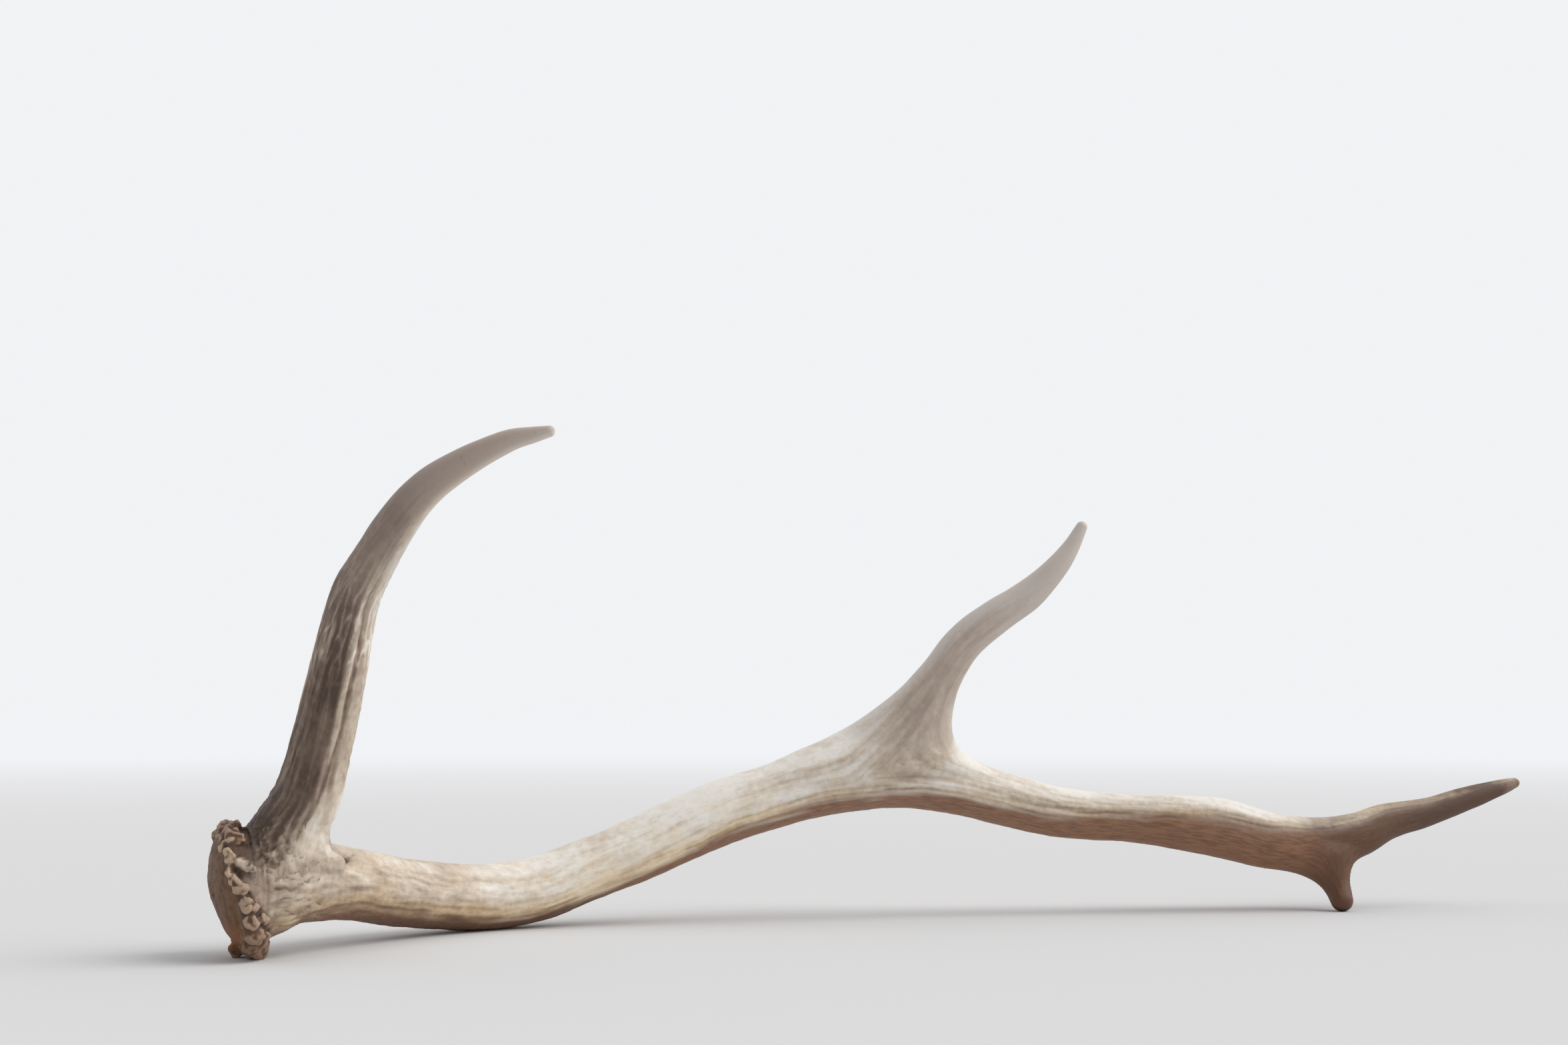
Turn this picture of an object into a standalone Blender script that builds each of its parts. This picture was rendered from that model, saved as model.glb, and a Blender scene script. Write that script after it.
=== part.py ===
"""A shed deer antler with four points, lying on its burr, its beam and its short inner tine.

The antler grew as one piece. It is split only at its main forks, into the main beam with the
burr and the terminal tine, the brow tine, the tray tine and the short inner tine.

Frame: metres, +Z up, X along the chord from the burr (-X) to the terminal tine (+X), the table
at Z = 0, and the origin under the middle of the bounding box. Sizes below are in millimetres.
"""

import math

import bmesh
import bpy
import numpy as np
from mathutils import Matrix, Vector

MM = 0.001

# Centre lines. Each station is x, y, z and the radius of the branch there.
BEAM = (
    (-309, -5, 28, 8.0),
    (-305, -5, 28, 17.0),
    (-298, -3, 28, 20.0),
    (-284, 6, 28, 16.5),
    (-261, 23, 25, 14.5),
    (-235, 45, 19, 14.2),
    (-215, 58, 16, 14.0),
    (-195, 67, 14, 14.3),
    (-170, 72, 16, 14.0),
    (-145, 74, 24, 13.7),
    (-120, 73, 33, 14.2),
    (-89, 71, 46, 14.6),
    (-64, 68, 54, 14.5),
    (-33, 63, 61, 14.2),
    (-2, 58, 63, 13.3),
    (24, 53, 60, 12.8),
    (49, 49, 54, 12.4),
    (78, 43, 47, 11.7),
    (110, 36, 44, 11.2),
    (132, 30, 42, 12.5),
    (155, 26, 39, 14.0),
    (178, 20, 33, 13.4),
    (200, 16, 31, 12.6),
    (223, 12, 35, 10.7),
    (240, 11, 41, 8.7),
    (262, 10, 45, 7.0),
    (285, 9, 51, 5.8),
    (308, 8, 57, 3.8),
    (315, 7, 59, 2.6),
)
BROW_TINE = (
    (-292, -2, 36, 15.3),
    (-289, -4, 48, 14.8),
    (-286, -7, 56, 13.5),
    (-283, -9, 63, 13.0),
    (-278, -13, 86, 11.8),
    (-274, -20, 112, 11.0),
    (-270, -27, 137, 9.8),
    (-265, -33, 150, 8.9),
    (-256, -44, 168, 7.8),
    (-247, -53, 180, 6.9),
    (-235, -63, 189, 5.7),
    (-222, -73, 196, 4.3),
    (-214, -80, 198, 3.1),
    (-209, -85, 199, 2.2),
)
TRAY_TINE = (
    (-24, 61, 60, 7.0),
    (-5, 57, 79, 11.0),
    (9, 51, 97, 11.6),
    (18, 46, 112, 9.9),
    (26, 40, 126, 8.9),
    (39, 33, 138, 8.2),
    (53, 27, 148, 7.3),
    (64, 21, 160, 5.6),
    (71, 18, 170, 4.0),
    (76, 16, 180, 2.6),
)
INNER_TINE = (
    (201, 14, 30, 9.5),
    (206, 10, 19, 8.0),
    (207, 5, 10, 6.0),
    (206, 1, 5, 5.2),
)

# The web that fills each fork: its width, and the side of the beam that it is on.
BROW_WEB = (12.0, (0.1, -0.1, 1.0))
TRAY_WEB = (40.0, (0.0, -0.15, 1.0))
INNER_WEB = (12.0, (0.0, -0.3, -1.0))
NARROWEST_WEB = 0.5
WEB_FADE = 1.2
WEB_WRAP = 0.1

# The burr: a domed seal inside a ring of pearls. Angles run from the top of the ring towards -Y.
BURR_CENTRE = (-307.8, -5.0, 26.3)
BURR_YAW = -2.0
BURR_TILT = 13.5
SEAL_RADIUS = 23.5
SEAL_DOME = 10.5
SEAL_WEB = 6.0
BURR_REACH = 70.0
# Each row of pearls: how many, ring radius, distance behind the ring's plane, size, phase.
PEARL_ROWS = (
    (38, 24.2, 0.0, 2.6, 0.0),
    (33, 23.4, 3.2, 2.0, 1.0),
    (29, 22.4, -2.8, 1.9, 2.0),
)
# The middle of the near side has the first row only.
NARROW_RING = (48.0, 118.0)
PEARL_SCATTER = 0.5
PEARL_WANDER = 2.4
PEARL_DRIFT = 3.7
PEARL_WEB = 0.6
# The middle of the ring's near side stands forward of its plane.
RING_BEND = 3.5
RING_BEND_ANGLE = 66.0
RING_BEND_SPREAD = 27.0
# Big pearls: angle, ring radius, distance behind the ring's plane, size.
BIG_PEARLS = (
    (-14, 22.0, -1.5, 3.6),
    (2, 23.2, 0.0, 3.9),
    (20, 22.5, 1.0, 3.7),
    (34, 23.5, 2.0, 3.3),
    (62, 23.5, 4.0, 3.0),
    (67, 24.0, 7.0, 2.4),
    (84, 24.0, 1.0, 2.9),
    (100, 24.2, 0.0, 3.2),
    (116, 24.3, 0.0, 3.5),
    (131, 24.5, 0.0, 3.9),
    (149, 24.2, 0.0, 5.0),
    (166, 23.8, 0.5, 5.1),
    (186, 22.5, -1.0, 4.2),
    (189, 23.0, -5.5, 3.4),
    (204, 22.5, -3.5, 3.6),
    (222, 23.0, -1.5, 3.4),
)
# Small knobs beside the brow tine's root: place and radius.
KNOBS = (
    (-270.5, -1.0, 34.5, 4.0),
    (-262.5, 9.5, 34.5, 3.6),
)
KNOB_WEB = 3.0

# Where the tines are split from the beam: a point on the cut, the way the tine leaves it, and
# the length and width of the space that holds the tine.
SPLIT_GAP = 0.3
BROW_CUT = ((-286, -8, 61), (0.2, -0.16, 0.97), 190, 260)
TRAY_CUT = ((5, 52, 92), (0.4, -0.2, 0.89), 130, 90)
INNER_CUT = ((205, 10, 16), (0.1, -0.35, -0.93), 30, 40)
TABLE = ((0, 0, 0), (0, 0, -1), 100, 1000)

# How finely the skin is worked out.
SAMPLE_STEP = 2.0
TUBE_DETAIL = 6
BALL_DETAIL = 3
VOXEL = 1.3
SKIN_ROUNDS = 2
PROJECTION_STEPS = 6
LEAST_STEEPNESS = 0.3
POINTS_AT_ONCE = 20000
TRIANGLE_BUDGET = 9200

BONE = (0.62, 0.52, 0.41)
BEAM_ROUGHNESS = 0.6
TINE_ROUGHNESS = 0.55
TIP_ROUGHNESS = 0.5
SHARP_EDGE = math.radians(60)


def spline(stations):
    """Points with radii along a smooth curve through the stations."""
    knots = np.array(stations, dtype=float)
    before = 2 * knots[0] - knots[1]
    after = 2 * knots[-1] - knots[-2]
    knots = np.vstack((before, knots, after))
    samples = []
    for first, start, end, last in zip(knots, knots[1:], knots[2:], knots[3:]):
        steps = max(2, int(np.linalg.norm(end[:3] - start[:3]) / SAMPLE_STEP))
        t = np.linspace(0.0, 1.0, steps, endpoint=False)[:, None]
        samples.append(
            start
            + 0.5 * t * (end - first)
            + t**2 * (first - 2.5 * start + 2 * end - 0.5 * last)
            + t**3 * (1.5 * (start - end) + 0.5 * (last - first))
        )
    samples.append(knots[-2][None, :])
    return np.vstack(samples)


def distance_to_branch(points, samples):
    """Signed distance to a branch's round skin, and its outward direction."""
    centres = samples[:, :3]
    radii = samples[:, 3]
    nearest = np.empty(len(points), dtype=int)
    for start in range(0, len(points), POINTS_AT_ONCE):
        block = slice(start, start + POINTS_AT_ONCE)
        squares = (centres**2).sum(1) - 2 * points[block] @ centres.T
        nearest[block] = squares.argmin(1)
    best = np.full(len(points), np.inf)
    outward = np.zeros_like(points)
    for shift in (-1, 0):
        first = np.clip(nearest + shift, 0, len(centres) - 2)
        along = centres[first + 1] - centres[first]
        t = ((points - centres[first]) * along).sum(1) / (along**2).sum(1)
        t = np.clip(t, 0.0, 1.0)
        away = points - centres[first] - t[:, None] * along
        length = np.linalg.norm(away, axis=1)
        signed = length - (radii[first] * (1 - t) + radii[first + 1] * t)
        closer = signed < best
        best[closer] = signed[closer]
        outward[closer] = away[closer] / np.maximum(length[closer], 1e-6)[:, None]
    return best, outward


def blend(one, other, web):
    """Smooth union of two signed distances, with their outward directions."""
    distance, direction = one
    second_distance, second_direction = other
    share = np.clip(0.5 + 0.5 * (second_distance - distance) / web, 0.0, 1.0)
    mixed = share * distance + (1 - share) * second_distance - web * share * (1 - share)
    weight = np.reshape(share, (-1, 1))
    return mixed, weight * direction + (1 - weight) * second_direction


def burr_axes():
    """Unit vectors of the burr: out of the seal, up the ring, and along the ring towards -Y."""
    yaw = math.radians(BURR_YAW)
    tilt = math.radians(BURR_TILT)
    out = np.array(
        (
            -math.cos(yaw) * math.cos(tilt),
            -math.sin(yaw) * math.cos(tilt),
            -math.sin(tilt),
        )
    )
    up = np.array((0.0, 0.0, 1.0)) + math.sin(tilt) * out
    up /= np.linalg.norm(up)
    return out, up, np.cross(up, out)


def ring_bend(angle):
    """How far the ring stands forward of its plane at an angle in degrees."""
    return RING_BEND * math.exp(-(((angle - RING_BEND_ANGLE) / RING_BEND_SPREAD) ** 2))


def pearl_row(count, ring, setback, size, phase):
    """One row of uneven pearls: angle, ring radius, setback and size of each."""
    row = []
    for number in range(count):
        wander = math.sin(PEARL_WANDER * number + phase)
        drift = PEARL_SCATTER * math.cos(PEARL_DRIFT * number + phase)
        angle = 360 * (number + 0.5 * drift) / count
        row.append((angle, ring + drift, setback + wander, size + PEARL_SCATTER * wander))
    return row


def ring_pearls():
    """Centre and radius of every pearl of the coronet."""
    out, up, side = burr_axes()
    rows = list(BIG_PEARLS) + pearl_row(*PEARL_ROWS[0])
    low, high = NARROW_RING
    for row in PEARL_ROWS[1:]:
        rows.extend(pearl for pearl in pearl_row(*row) if not low < pearl[0] < high)
    pearls = []
    for angle, ring, setback, size in rows:
        turn = math.radians(angle)
        place = np.array(BURR_CENTRE) + ring * (math.cos(turn) * up + math.sin(turn) * side)
        pearls.append((place + (ring_bend(angle) - setback) * out, size))
    return pearls


def distance_to_seal(points):
    """Signed distance to the flattened ball that makes the seal's dome."""
    out, _, _ = burr_axes()
    offset = points - np.array(BURR_CENTRE)
    height = offset @ out
    spread = offset - height[:, None] * out
    scaled = spread / SEAL_RADIUS + (height / SEAL_DOME)[:, None] * out
    steep = spread / SEAL_RADIUS**2 + (height / SEAL_DOME**2)[:, None] * out
    reach = np.linalg.norm(scaled, axis=1)
    slope = np.maximum(np.linalg.norm(steep, axis=1), 1e-6)
    return reach * (reach - 1) / slope, steep / slope[:, None]


def distance_to_ball(points, centre, radius):
    """Signed distance to a ball, and its outward direction."""
    away = points - np.array(centre)
    length = np.maximum(np.linalg.norm(away, axis=1), 1e-6)
    return length - radius, away / length[:, None]


def add_burr(points, skin):
    """Blend the seal, the pearls and the knobs into the skin near the burr."""
    distance, direction = skin
    near = np.linalg.norm(points - np.array(BURR_CENTRE), axis=1) < BURR_REACH
    local = points[near]
    fused = blend((distance[near], direction[near]), distance_to_seal(local), SEAL_WEB)
    for centre, size in ring_pearls():
        fused = blend(fused, distance_to_ball(local, centre, size), PEARL_WEB)
    for *centre, size in KNOBS:
        fused = blend(fused, distance_to_ball(local, centre, size), KNOB_WEB)
    distance = distance.copy()
    direction = direction.copy()
    distance[near], direction[near] = fused
    return distance, direction


def web_width(outward, web):
    """Width of a fork's web on each side of the beam: none on the side away from the tine."""
    width, facing = web
    facing = np.array(facing) / np.linalg.norm(facing)
    share = np.clip(WEB_FADE * (outward @ facing) + WEB_WRAP, 0.0, 1.0)
    return NARROWEST_WEB + width * share**2 * (3 - 2 * share)


def antler_skin(points, branches):
    """Signed distance to the whole antler's skin, and its outward direction."""
    skin = distance_to_branch(points, branches["beam"])
    outward = skin[1]
    for name, web in (("brow_tine", BROW_WEB), ("tray_tine", TRAY_WEB), ("inner_tine", INNER_WEB)):
        skin = blend(skin, distance_to_branch(points, branches[name]), web_width(outward, web))
    return add_burr(points, skin)


def fit_to_skin(mesh, branches):
    """Move a mesh's points onto the antler's skin."""
    points = np.empty(3 * len(mesh.vertices), dtype=np.float32)
    mesh.vertices.foreach_get("co", points)
    points = points.reshape(-1, 3).astype(float) / MM
    for _ in range(PROJECTION_STEPS):
        distance, direction = antler_skin(points, branches)
        steepness = np.maximum((direction**2).sum(1), LEAST_STEEPNESS)
        points -= (distance / steepness)[:, None] * direction
    mesh.vertices.foreach_set("co", (points * MM).astype(np.float32).ravel())
    mesh.update()


def add_tube(name, samples):
    """A round curve with the branch's own thickness at each of its points."""
    curve = bpy.data.curves.new(name, "CURVE")
    curve.dimensions = "3D"
    curve.bevel_depth = MM
    curve.bevel_resolution = TUBE_DETAIL
    curve.use_fill_caps = True
    line = curve.splines.new("POLY")
    line.points.add(len(samples) - 1)
    for point, (x, y, z, radius) in zip(line.points, samples):
        point.co = (x * MM, y * MM, z * MM, 1.0)
        point.radius = radius
    return add_object(name, curve)


def add_object(name, data):
    """A new object in the scene."""
    piece = bpy.data.objects.new(name, data)
    bpy.context.scene.collection.objects.link(piece)
    return piece


def evaluated_mesh(piece):
    """The object's mesh with its modifiers applied."""
    graph = bpy.context.evaluated_depsgraph_get()
    return bpy.data.meshes.new_from_object(piece.evaluated_get(graph))


def replace_mesh(piece, mesh):
    """Give the object this mesh and no modifiers."""
    piece.modifiers.clear()
    piece.data = mesh


def add_ball(name, centre, radius, flatness=1.0, axis=(0, 0, 1)):
    """A ball, flattened along its axis."""
    mesh = bpy.data.meshes.new(name)
    work = bmesh.new()
    bmesh.ops.create_icosphere(work, subdivisions=BALL_DETAIL, radius=1.0)
    turn = Vector(axis).to_track_quat("Z", "Y").to_matrix().to_4x4()
    size = Matrix.Diagonal((radius * MM, radius * MM, flatness * radius * MM, 1.0))
    work.transform(Matrix.Translation(Vector(centre) * MM) @ turn @ size)
    work.to_mesh(mesh)
    work.free()
    return add_object(name, mesh)


def rough_shapes(branches):
    """Tubes and balls that together fill the antler before its skin is fitted."""
    pieces = []
    for name, line in branches.items():
        pieces.append(add_tube(name, line))
        pieces.append(add_ball(name + "_tip", line[-1, :3], line[-1, 3]))
    out, _, _ = burr_axes()
    pieces.append(add_ball("seal", BURR_CENTRE, SEAL_RADIUS, SEAL_DOME / SEAL_RADIUS, out))
    for centre, size in ring_pearls():
        pieces.append(add_ball("pearl", centre, size))
    return pieces


def remesh(piece):
    """Rebuild the object's surface as one even skin."""
    modifier = piece.modifiers.new("one skin", "REMESH")
    modifier.mode = "VOXEL"
    modifier.voxel_size = VOXEL * MM
    replace_mesh(piece, evaluated_mesh(piece))


def join_meshes(name, pieces):
    """One mesh object holding the surfaces of all the pieces."""
    vertices = []
    faces = []
    for piece in pieces:
        mesh = evaluated_mesh(piece)
        start = len(vertices)
        vertices.extend(vertex.co.copy() for vertex in mesh.vertices)
        faces.extend([start + index for index in face.vertices] for face in mesh.polygons)
        bpy.data.objects.remove(piece)
    mesh = bpy.data.meshes.new(name)
    mesh.from_pydata(vertices, [], faces)
    return add_object(name, mesh)


def thin_out(piece, triangles):
    """Keep the shape with about this many triangles."""
    modifier = piece.modifiers.new("fewer faces", "DECIMATE")
    modifier.ratio = triangles / (2 * len(piece.data.polygons))
    replace_mesh(piece, evaluated_mesh(piece))


def whole_antler():
    """The antler as one closed skin."""
    branches = {
        "beam": spline(BEAM),
        "brow_tine": spline(BROW_TINE),
        "tray_tine": spline(TRAY_TINE),
        "inner_tine": spline(INNER_TINE),
    }
    antler = join_meshes("antler", rough_shapes(branches))
    for _ in range(SKIN_ROUNDS):
        remesh(antler)
        fit_to_skin(antler.data, branches)
    thin_out(antler, TRIANGLE_BUDGET)
    return antler


def box_along(name, point, direction, length, width):
    """A box that starts at a point and runs along a direction."""
    bottom = Vector(point) * MM
    axis = Vector(direction).normalized()
    half = 0.5 * width * MM
    corners = [(x, y, z) for z in (0, length * MM) for x in (-half, half) for y in (-half, half)]
    faces = ((0, 2, 3, 1), (4, 5, 7, 6), (0, 1, 5, 4), (2, 6, 7, 3), (0, 4, 6, 2), (1, 3, 7, 5))
    mesh = bpy.data.meshes.new(name)
    mesh.from_pydata(corners, [], [face[::-1] for face in faces])
    box = add_object(name, mesh)
    box.location = bottom
    box.rotation_mode = "QUATERNION"
    box.rotation_quaternion = axis.to_track_quat("Z", "Y")
    return box


def combine(piece, cutter, operation):
    """Apply one Boolean and remove its cutter."""
    modifier = piece.modifiers.new(operation.lower(), "BOOLEAN")
    modifier.operation = operation
    modifier.object = cutter
    bpy.context.view_layer.update()
    replace_mesh(piece, evaluated_mesh(piece))
    bpy.data.objects.remove(cutter)


def split_tine(antler, name, cut):
    """Cut a tine off at its fork and leave the gap between the two."""
    point, direction, length, width = cut
    tine = add_object(name, antler.data.copy())
    combine(tine, box_along("keep", point, direction, length, width), "INTERSECT")
    below = Vector(point) - SPLIT_GAP * Vector(direction).normalized()
    combine(antler, box_along("clear", below, direction, length, width), "DIFFERENCE")
    return tine


def stand_on_table(piece):
    """Wear the piece flat where it touches the table."""
    combine(piece, box_along("table", *TABLE), "DIFFERENCE")


def bone_material(name, colour, roughness):
    """Plain bone."""
    material = bpy.data.materials.new(name)
    material.use_nodes = True
    shader = material.node_tree.nodes["Principled BSDF"]
    shader.inputs["Base Color"].default_value = (*colour, 1.0)
    shader.inputs["Roughness"].default_value = roughness
    shader.inputs["Metallic"].default_value = 0.0
    return material


def finish(piece, material):
    """Shade the piece smooth and give it its material."""
    piece.data.shade_smooth()
    piece.data.set_sharp_from_angle(angle=SHARP_EDGE)
    piece.data.materials.clear()
    piece.data.materials.append(material)


def main():
    for piece in list(bpy.data.objects):
        bpy.data.objects.remove(piece)
    beam = whole_antler()
    beam.name = "main_beam"
    brow = split_tine(beam, "brow_tine", BROW_CUT)
    tray = split_tine(beam, "tray_tine", TRAY_CUT)
    inner = split_tine(beam, "inner_tine", INNER_CUT)
    stand_on_table(beam)
    stand_on_table(inner)
    finish(beam, bone_material("beam_bone", BONE, BEAM_ROUGHNESS))
    finish(brow, bone_material("brow_bone", BONE, TINE_ROUGHNESS))
    finish(tray, bone_material("tray_bone", BONE, TINE_ROUGHNESS))
    finish(inner, bone_material("inner_bone", BONE, TIP_ROUGHNESS))


main()
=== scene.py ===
import itertools
import math

import bmesh
import bpy
import numpy as np
from mathutils import Euler, Matrix, Vector


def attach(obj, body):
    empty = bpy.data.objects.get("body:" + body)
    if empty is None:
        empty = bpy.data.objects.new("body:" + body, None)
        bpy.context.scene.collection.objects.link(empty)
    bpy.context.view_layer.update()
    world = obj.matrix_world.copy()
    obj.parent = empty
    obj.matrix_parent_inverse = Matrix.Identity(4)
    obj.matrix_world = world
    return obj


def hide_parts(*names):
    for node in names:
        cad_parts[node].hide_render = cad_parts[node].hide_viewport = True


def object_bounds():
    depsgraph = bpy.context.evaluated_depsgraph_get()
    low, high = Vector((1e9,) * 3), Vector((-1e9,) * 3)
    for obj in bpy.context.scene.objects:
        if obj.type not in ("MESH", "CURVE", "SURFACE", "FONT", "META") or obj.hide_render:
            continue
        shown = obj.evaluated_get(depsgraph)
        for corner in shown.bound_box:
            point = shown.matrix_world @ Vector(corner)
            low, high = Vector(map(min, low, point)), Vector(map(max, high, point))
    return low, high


# A shed deer antler: one fine skin with its furrows, pearls, pits and wrinkles, on a pale floor.
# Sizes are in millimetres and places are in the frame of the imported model.

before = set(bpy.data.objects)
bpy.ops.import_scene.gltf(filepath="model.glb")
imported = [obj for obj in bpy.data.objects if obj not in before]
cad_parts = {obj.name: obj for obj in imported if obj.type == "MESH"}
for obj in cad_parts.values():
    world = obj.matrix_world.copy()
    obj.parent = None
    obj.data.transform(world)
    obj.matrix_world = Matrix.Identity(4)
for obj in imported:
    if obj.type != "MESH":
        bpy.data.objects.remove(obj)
cad_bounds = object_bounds()

MM = 0.001
# No length is divided by less than this.
TINY = 1e-9
UP = np.array((0.0, 0.0, 1.0))

# Centre lines. Each station is x, y, z and the radius of the branch there.
BEAM = (
    (-309, -5, 28, 8.0), (-305, -5, 28, 17.0), (-298, -3, 28, 20.0), (-284, 6, 28, 16.5),
    (-261, 23, 25, 14.5), (-235, 45, 19, 14.2), (-215, 58, 16, 14.0), (-195, 67, 14, 14.3),
    (-170, 72, 16, 14.0), (-145, 74, 24, 13.7), (-120, 73, 33, 14.2), (-89, 71, 46, 14.6),
    (-64, 68, 54, 14.5), (-33, 63, 61, 14.2), (-2, 58, 63, 13.3), (24, 53, 60, 12.8),
    (49, 49, 54, 12.4), (78, 43, 47, 11.7), (110, 36, 44, 11.2), (132, 30, 42, 12.5),
    (155, 26, 39, 14.0), (178, 20, 33, 13.4), (200, 16, 31, 12.6), (223, 12, 35, 10.7),
    (240, 11, 41, 8.7), (262, 10, 45, 7.0), (285, 9, 51, 5.8), (308, 8, 57, 3.8),
    (315, 7, 59, 2.6),
)
BROW_TINE = (
    (-292, -2, 36, 15.3), (-289, -4, 48, 14.8), (-286, -7, 56, 13.5), (-283, -9, 63, 13.0),
    (-278, -13, 86, 11.8), (-274, -20, 112, 11.0), (-270, -27, 137, 9.8), (-265, -33, 150, 8.9),
    (-256, -44, 168, 7.8), (-247, -53, 180, 6.9), (-235, -63, 189, 5.7), (-222, -73, 196, 4.3),
    (-214, -80, 198, 3.1), (-209, -85, 199, 2.2),
)
TRAY_TINE = (
    (-24, 61, 60, 7.0), (-5, 57, 79, 11.0), (9, 51, 97, 11.6), (18, 46, 112, 9.9),
    (26, 40, 126, 8.9), (39, 33, 138, 8.2), (53, 27, 148, 7.3), (64, 21, 160, 5.6),
    (71, 18, 170, 4.0), (76, 16, 180, 2.6),
)
INNER_TINE = (
    (201, 14, 30, 9.5), (206, 10, 19, 8.0), (207, 5, 10, 6.0), (206, 1, 5, 5.2),
)

# The web that fills each fork: its width, and the side of the beam that it is on.
WEBS = {
    "brow_tine": (12.0, (0.1, -0.1, 1.0)),
    "tray_tine": (40.0, (0.0, -0.15, 1.0)),
    "inner_tine": (12.0, (0.0, -0.3, -1.0)),
}
NARROWEST_WEB = 0.5
WEB_FADE = 1.2
WEB_WRAP = 0.1

# The burr: a domed seal inside a ring of pearls. Angles run from the top of the ring towards -Y.
BURR_CENTRE = (-307.8, -5.0, 26.3)
BURR_YAW = -2.0
BURR_TILT = 13.5
SEAL_RADIUS = 23.5
SEAL_DOME = 10.5
SEAL_WEB = 6.0
# The burr's shapes are blended in within this distance of its centre.
BURR_REACH = 70.0
# Each row of pearls: how many, ring radius, distance behind the ring's plane, size, phase.
PEARL_ROWS = ((38, 24.2, 0.0, 2.6, 0.0), (33, 23.4, 3.2, 2.0, 1.0), (29, 22.4, -2.8, 1.9, 2.0))
# The middle of the near side has the first row only.
NARROW_RING = (48.0, 118.0)
PEARL_SCATTER = 0.5
PEARL_WANDER = 2.4
PEARL_DRIFT = 3.7
PEARL_WEB = 0.6
# How far the pearls' round shapes are bent, the size of the bends, and their seed.
UNEVEN_PEARLS = (1.1, 3.4, 201)
# The middle of the ring's near side stands forward of its plane.
RING_BEND = 3.5
RING_BEND_ANGLE = 66.0
RING_BEND_SPREAD = 27.0
# Big pearls: angle, ring radius, distance behind the ring's plane, size.
BIG_PEARLS = (
    (-14, 22.0, -1.5, 3.6), (2, 23.2, 0.0, 3.9), (20, 22.5, 1.0, 3.7), (34, 23.5, 2.0, 3.3),
    (62, 23.5, 4.0, 3.0), (67, 24.0, 7.0, 2.4), (84, 24.0, 1.0, 2.9), (100, 24.2, 0.0, 3.2),
    (116, 24.3, 0.0, 3.5), (131, 24.5, 0.0, 3.9), (149, 24.2, 0.0, 5.0), (166, 23.8, 0.5, 5.1),
    (186, 22.5, -1.0, 4.2), (189, 23.0, -5.5, 3.4), (204, 22.5, -3.5, 3.6),
    (222, 23.0, -1.5, 3.4),
)
# Small knobs beside the brow tine's root: place and radius.
KNOBS = ((-270.5, -1.0, 34.5, 4.0), (-262.5, 9.5, 34.5, 3.6))
KNOB_WEB = 3.0

# Where the pieces part: a point on each cut and the way the tine leaves it.
CUTS = {
    "brow_tine": ((-286, -8, 61), (0.2, -0.16, 0.97)),
    "tray_tine": ((5, 52, 92), (0.4, -0.2, 0.89)),
    "inner_tine": ((205, 10, 16), (0.1, -0.35, -0.93)),
}
# How far beyond its cut each tine goes.
TINE_REACH = {"brow_tine": 190.0, "tray_tine": 110.0, "inner_tine": 30.0}

# How finely the skin is worked out.
SAMPLE_STEP = 1.5
TUBE_DETAIL = 6
BALL_DETAIL = 3
COARSE_VOXEL = 1.4
FINE_VOXEL = 0.62
COARSE_STEPS = 5
FINE_STEPS = 3
LEAST_STEEPNESS = 0.3
POINTS_AT_ONCE = 20000


# ---- the branches and the skin


def unit(vectors):
    """Each row scaled to length one."""
    vectors = np.asarray(vectors, dtype=float)
    length = np.linalg.norm(vectors, axis=-1, keepdims=True)
    return vectors / np.maximum(length, TINY)


def spline(stations):
    """Points with radii along a smooth curve through the stations."""
    knots = np.array(stations, dtype=float)
    before = 2 * knots[0] - knots[1]
    after = 2 * knots[-1] - knots[-2]
    knots = np.vstack((before, knots, after))
    samples = []
    for first, start, end, last in zip(knots, knots[1:], knots[2:], knots[3:]):
        steps = max(2, int(np.linalg.norm(end[:3] - start[:3]) / SAMPLE_STEP))
        t = np.linspace(0.0, 1.0, steps, endpoint=False)[:, None]
        samples.append(
            start
            + 0.5 * t * (end - first)
            + t**2 * (first - 2.5 * start + 2 * end - 0.5 * last)
            + t**3 * (1.5 * (start - end) + 0.5 * (last - first))
        )
    samples.append(knots[-2][None, :])
    return np.vstack(samples)


def make_branch(stations, level=False):
    """A branch's samples, its length so far, and two directions across it.

    They never twist, or on a level branch the second one always points up.
    """
    samples = spline(stations)
    centres = samples[:, :3]
    steps = np.diff(centres, axis=0)
    length = np.concatenate(([0.0], np.cumsum(np.linalg.norm(steps, axis=1))))
    ahead = unit(np.gradient(centres, axis=0))
    across = np.empty_like(ahead)
    current = np.array((0.0, 1.0, 0.0))
    for index, direction in enumerate(ahead):
        current = unit(current - (current @ direction) * direction)
        across[index] = current
    if level:
        across = unit(np.cross(UP, ahead))
    return {
        "centres": centres,
        "radii": samples[:, 3],
        "length": length,
        "ahead": ahead,
        "across": across,
        "over": np.cross(ahead, across),
    }


BRANCHES = {
    "beam": make_branch(BEAM, level=True),
    "brow_tine": make_branch(BROW_TINE),
    "tray_tine": make_branch(TRAY_TINE),
    "inner_tine": make_branch(INNER_TINE),
}


def nearest_sample(points, centres):
    """The index of the nearest centre for each point."""
    nearest = np.empty(len(points), dtype=int)
    for start in range(0, len(points), POINTS_AT_ONCE):
        block = slice(start, start + POINTS_AT_ONCE)
        squares = (centres**2).sum(1) - 2 * points[block] @ centres.T
        nearest[block] = squares.argmin(1)
    return nearest


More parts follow.
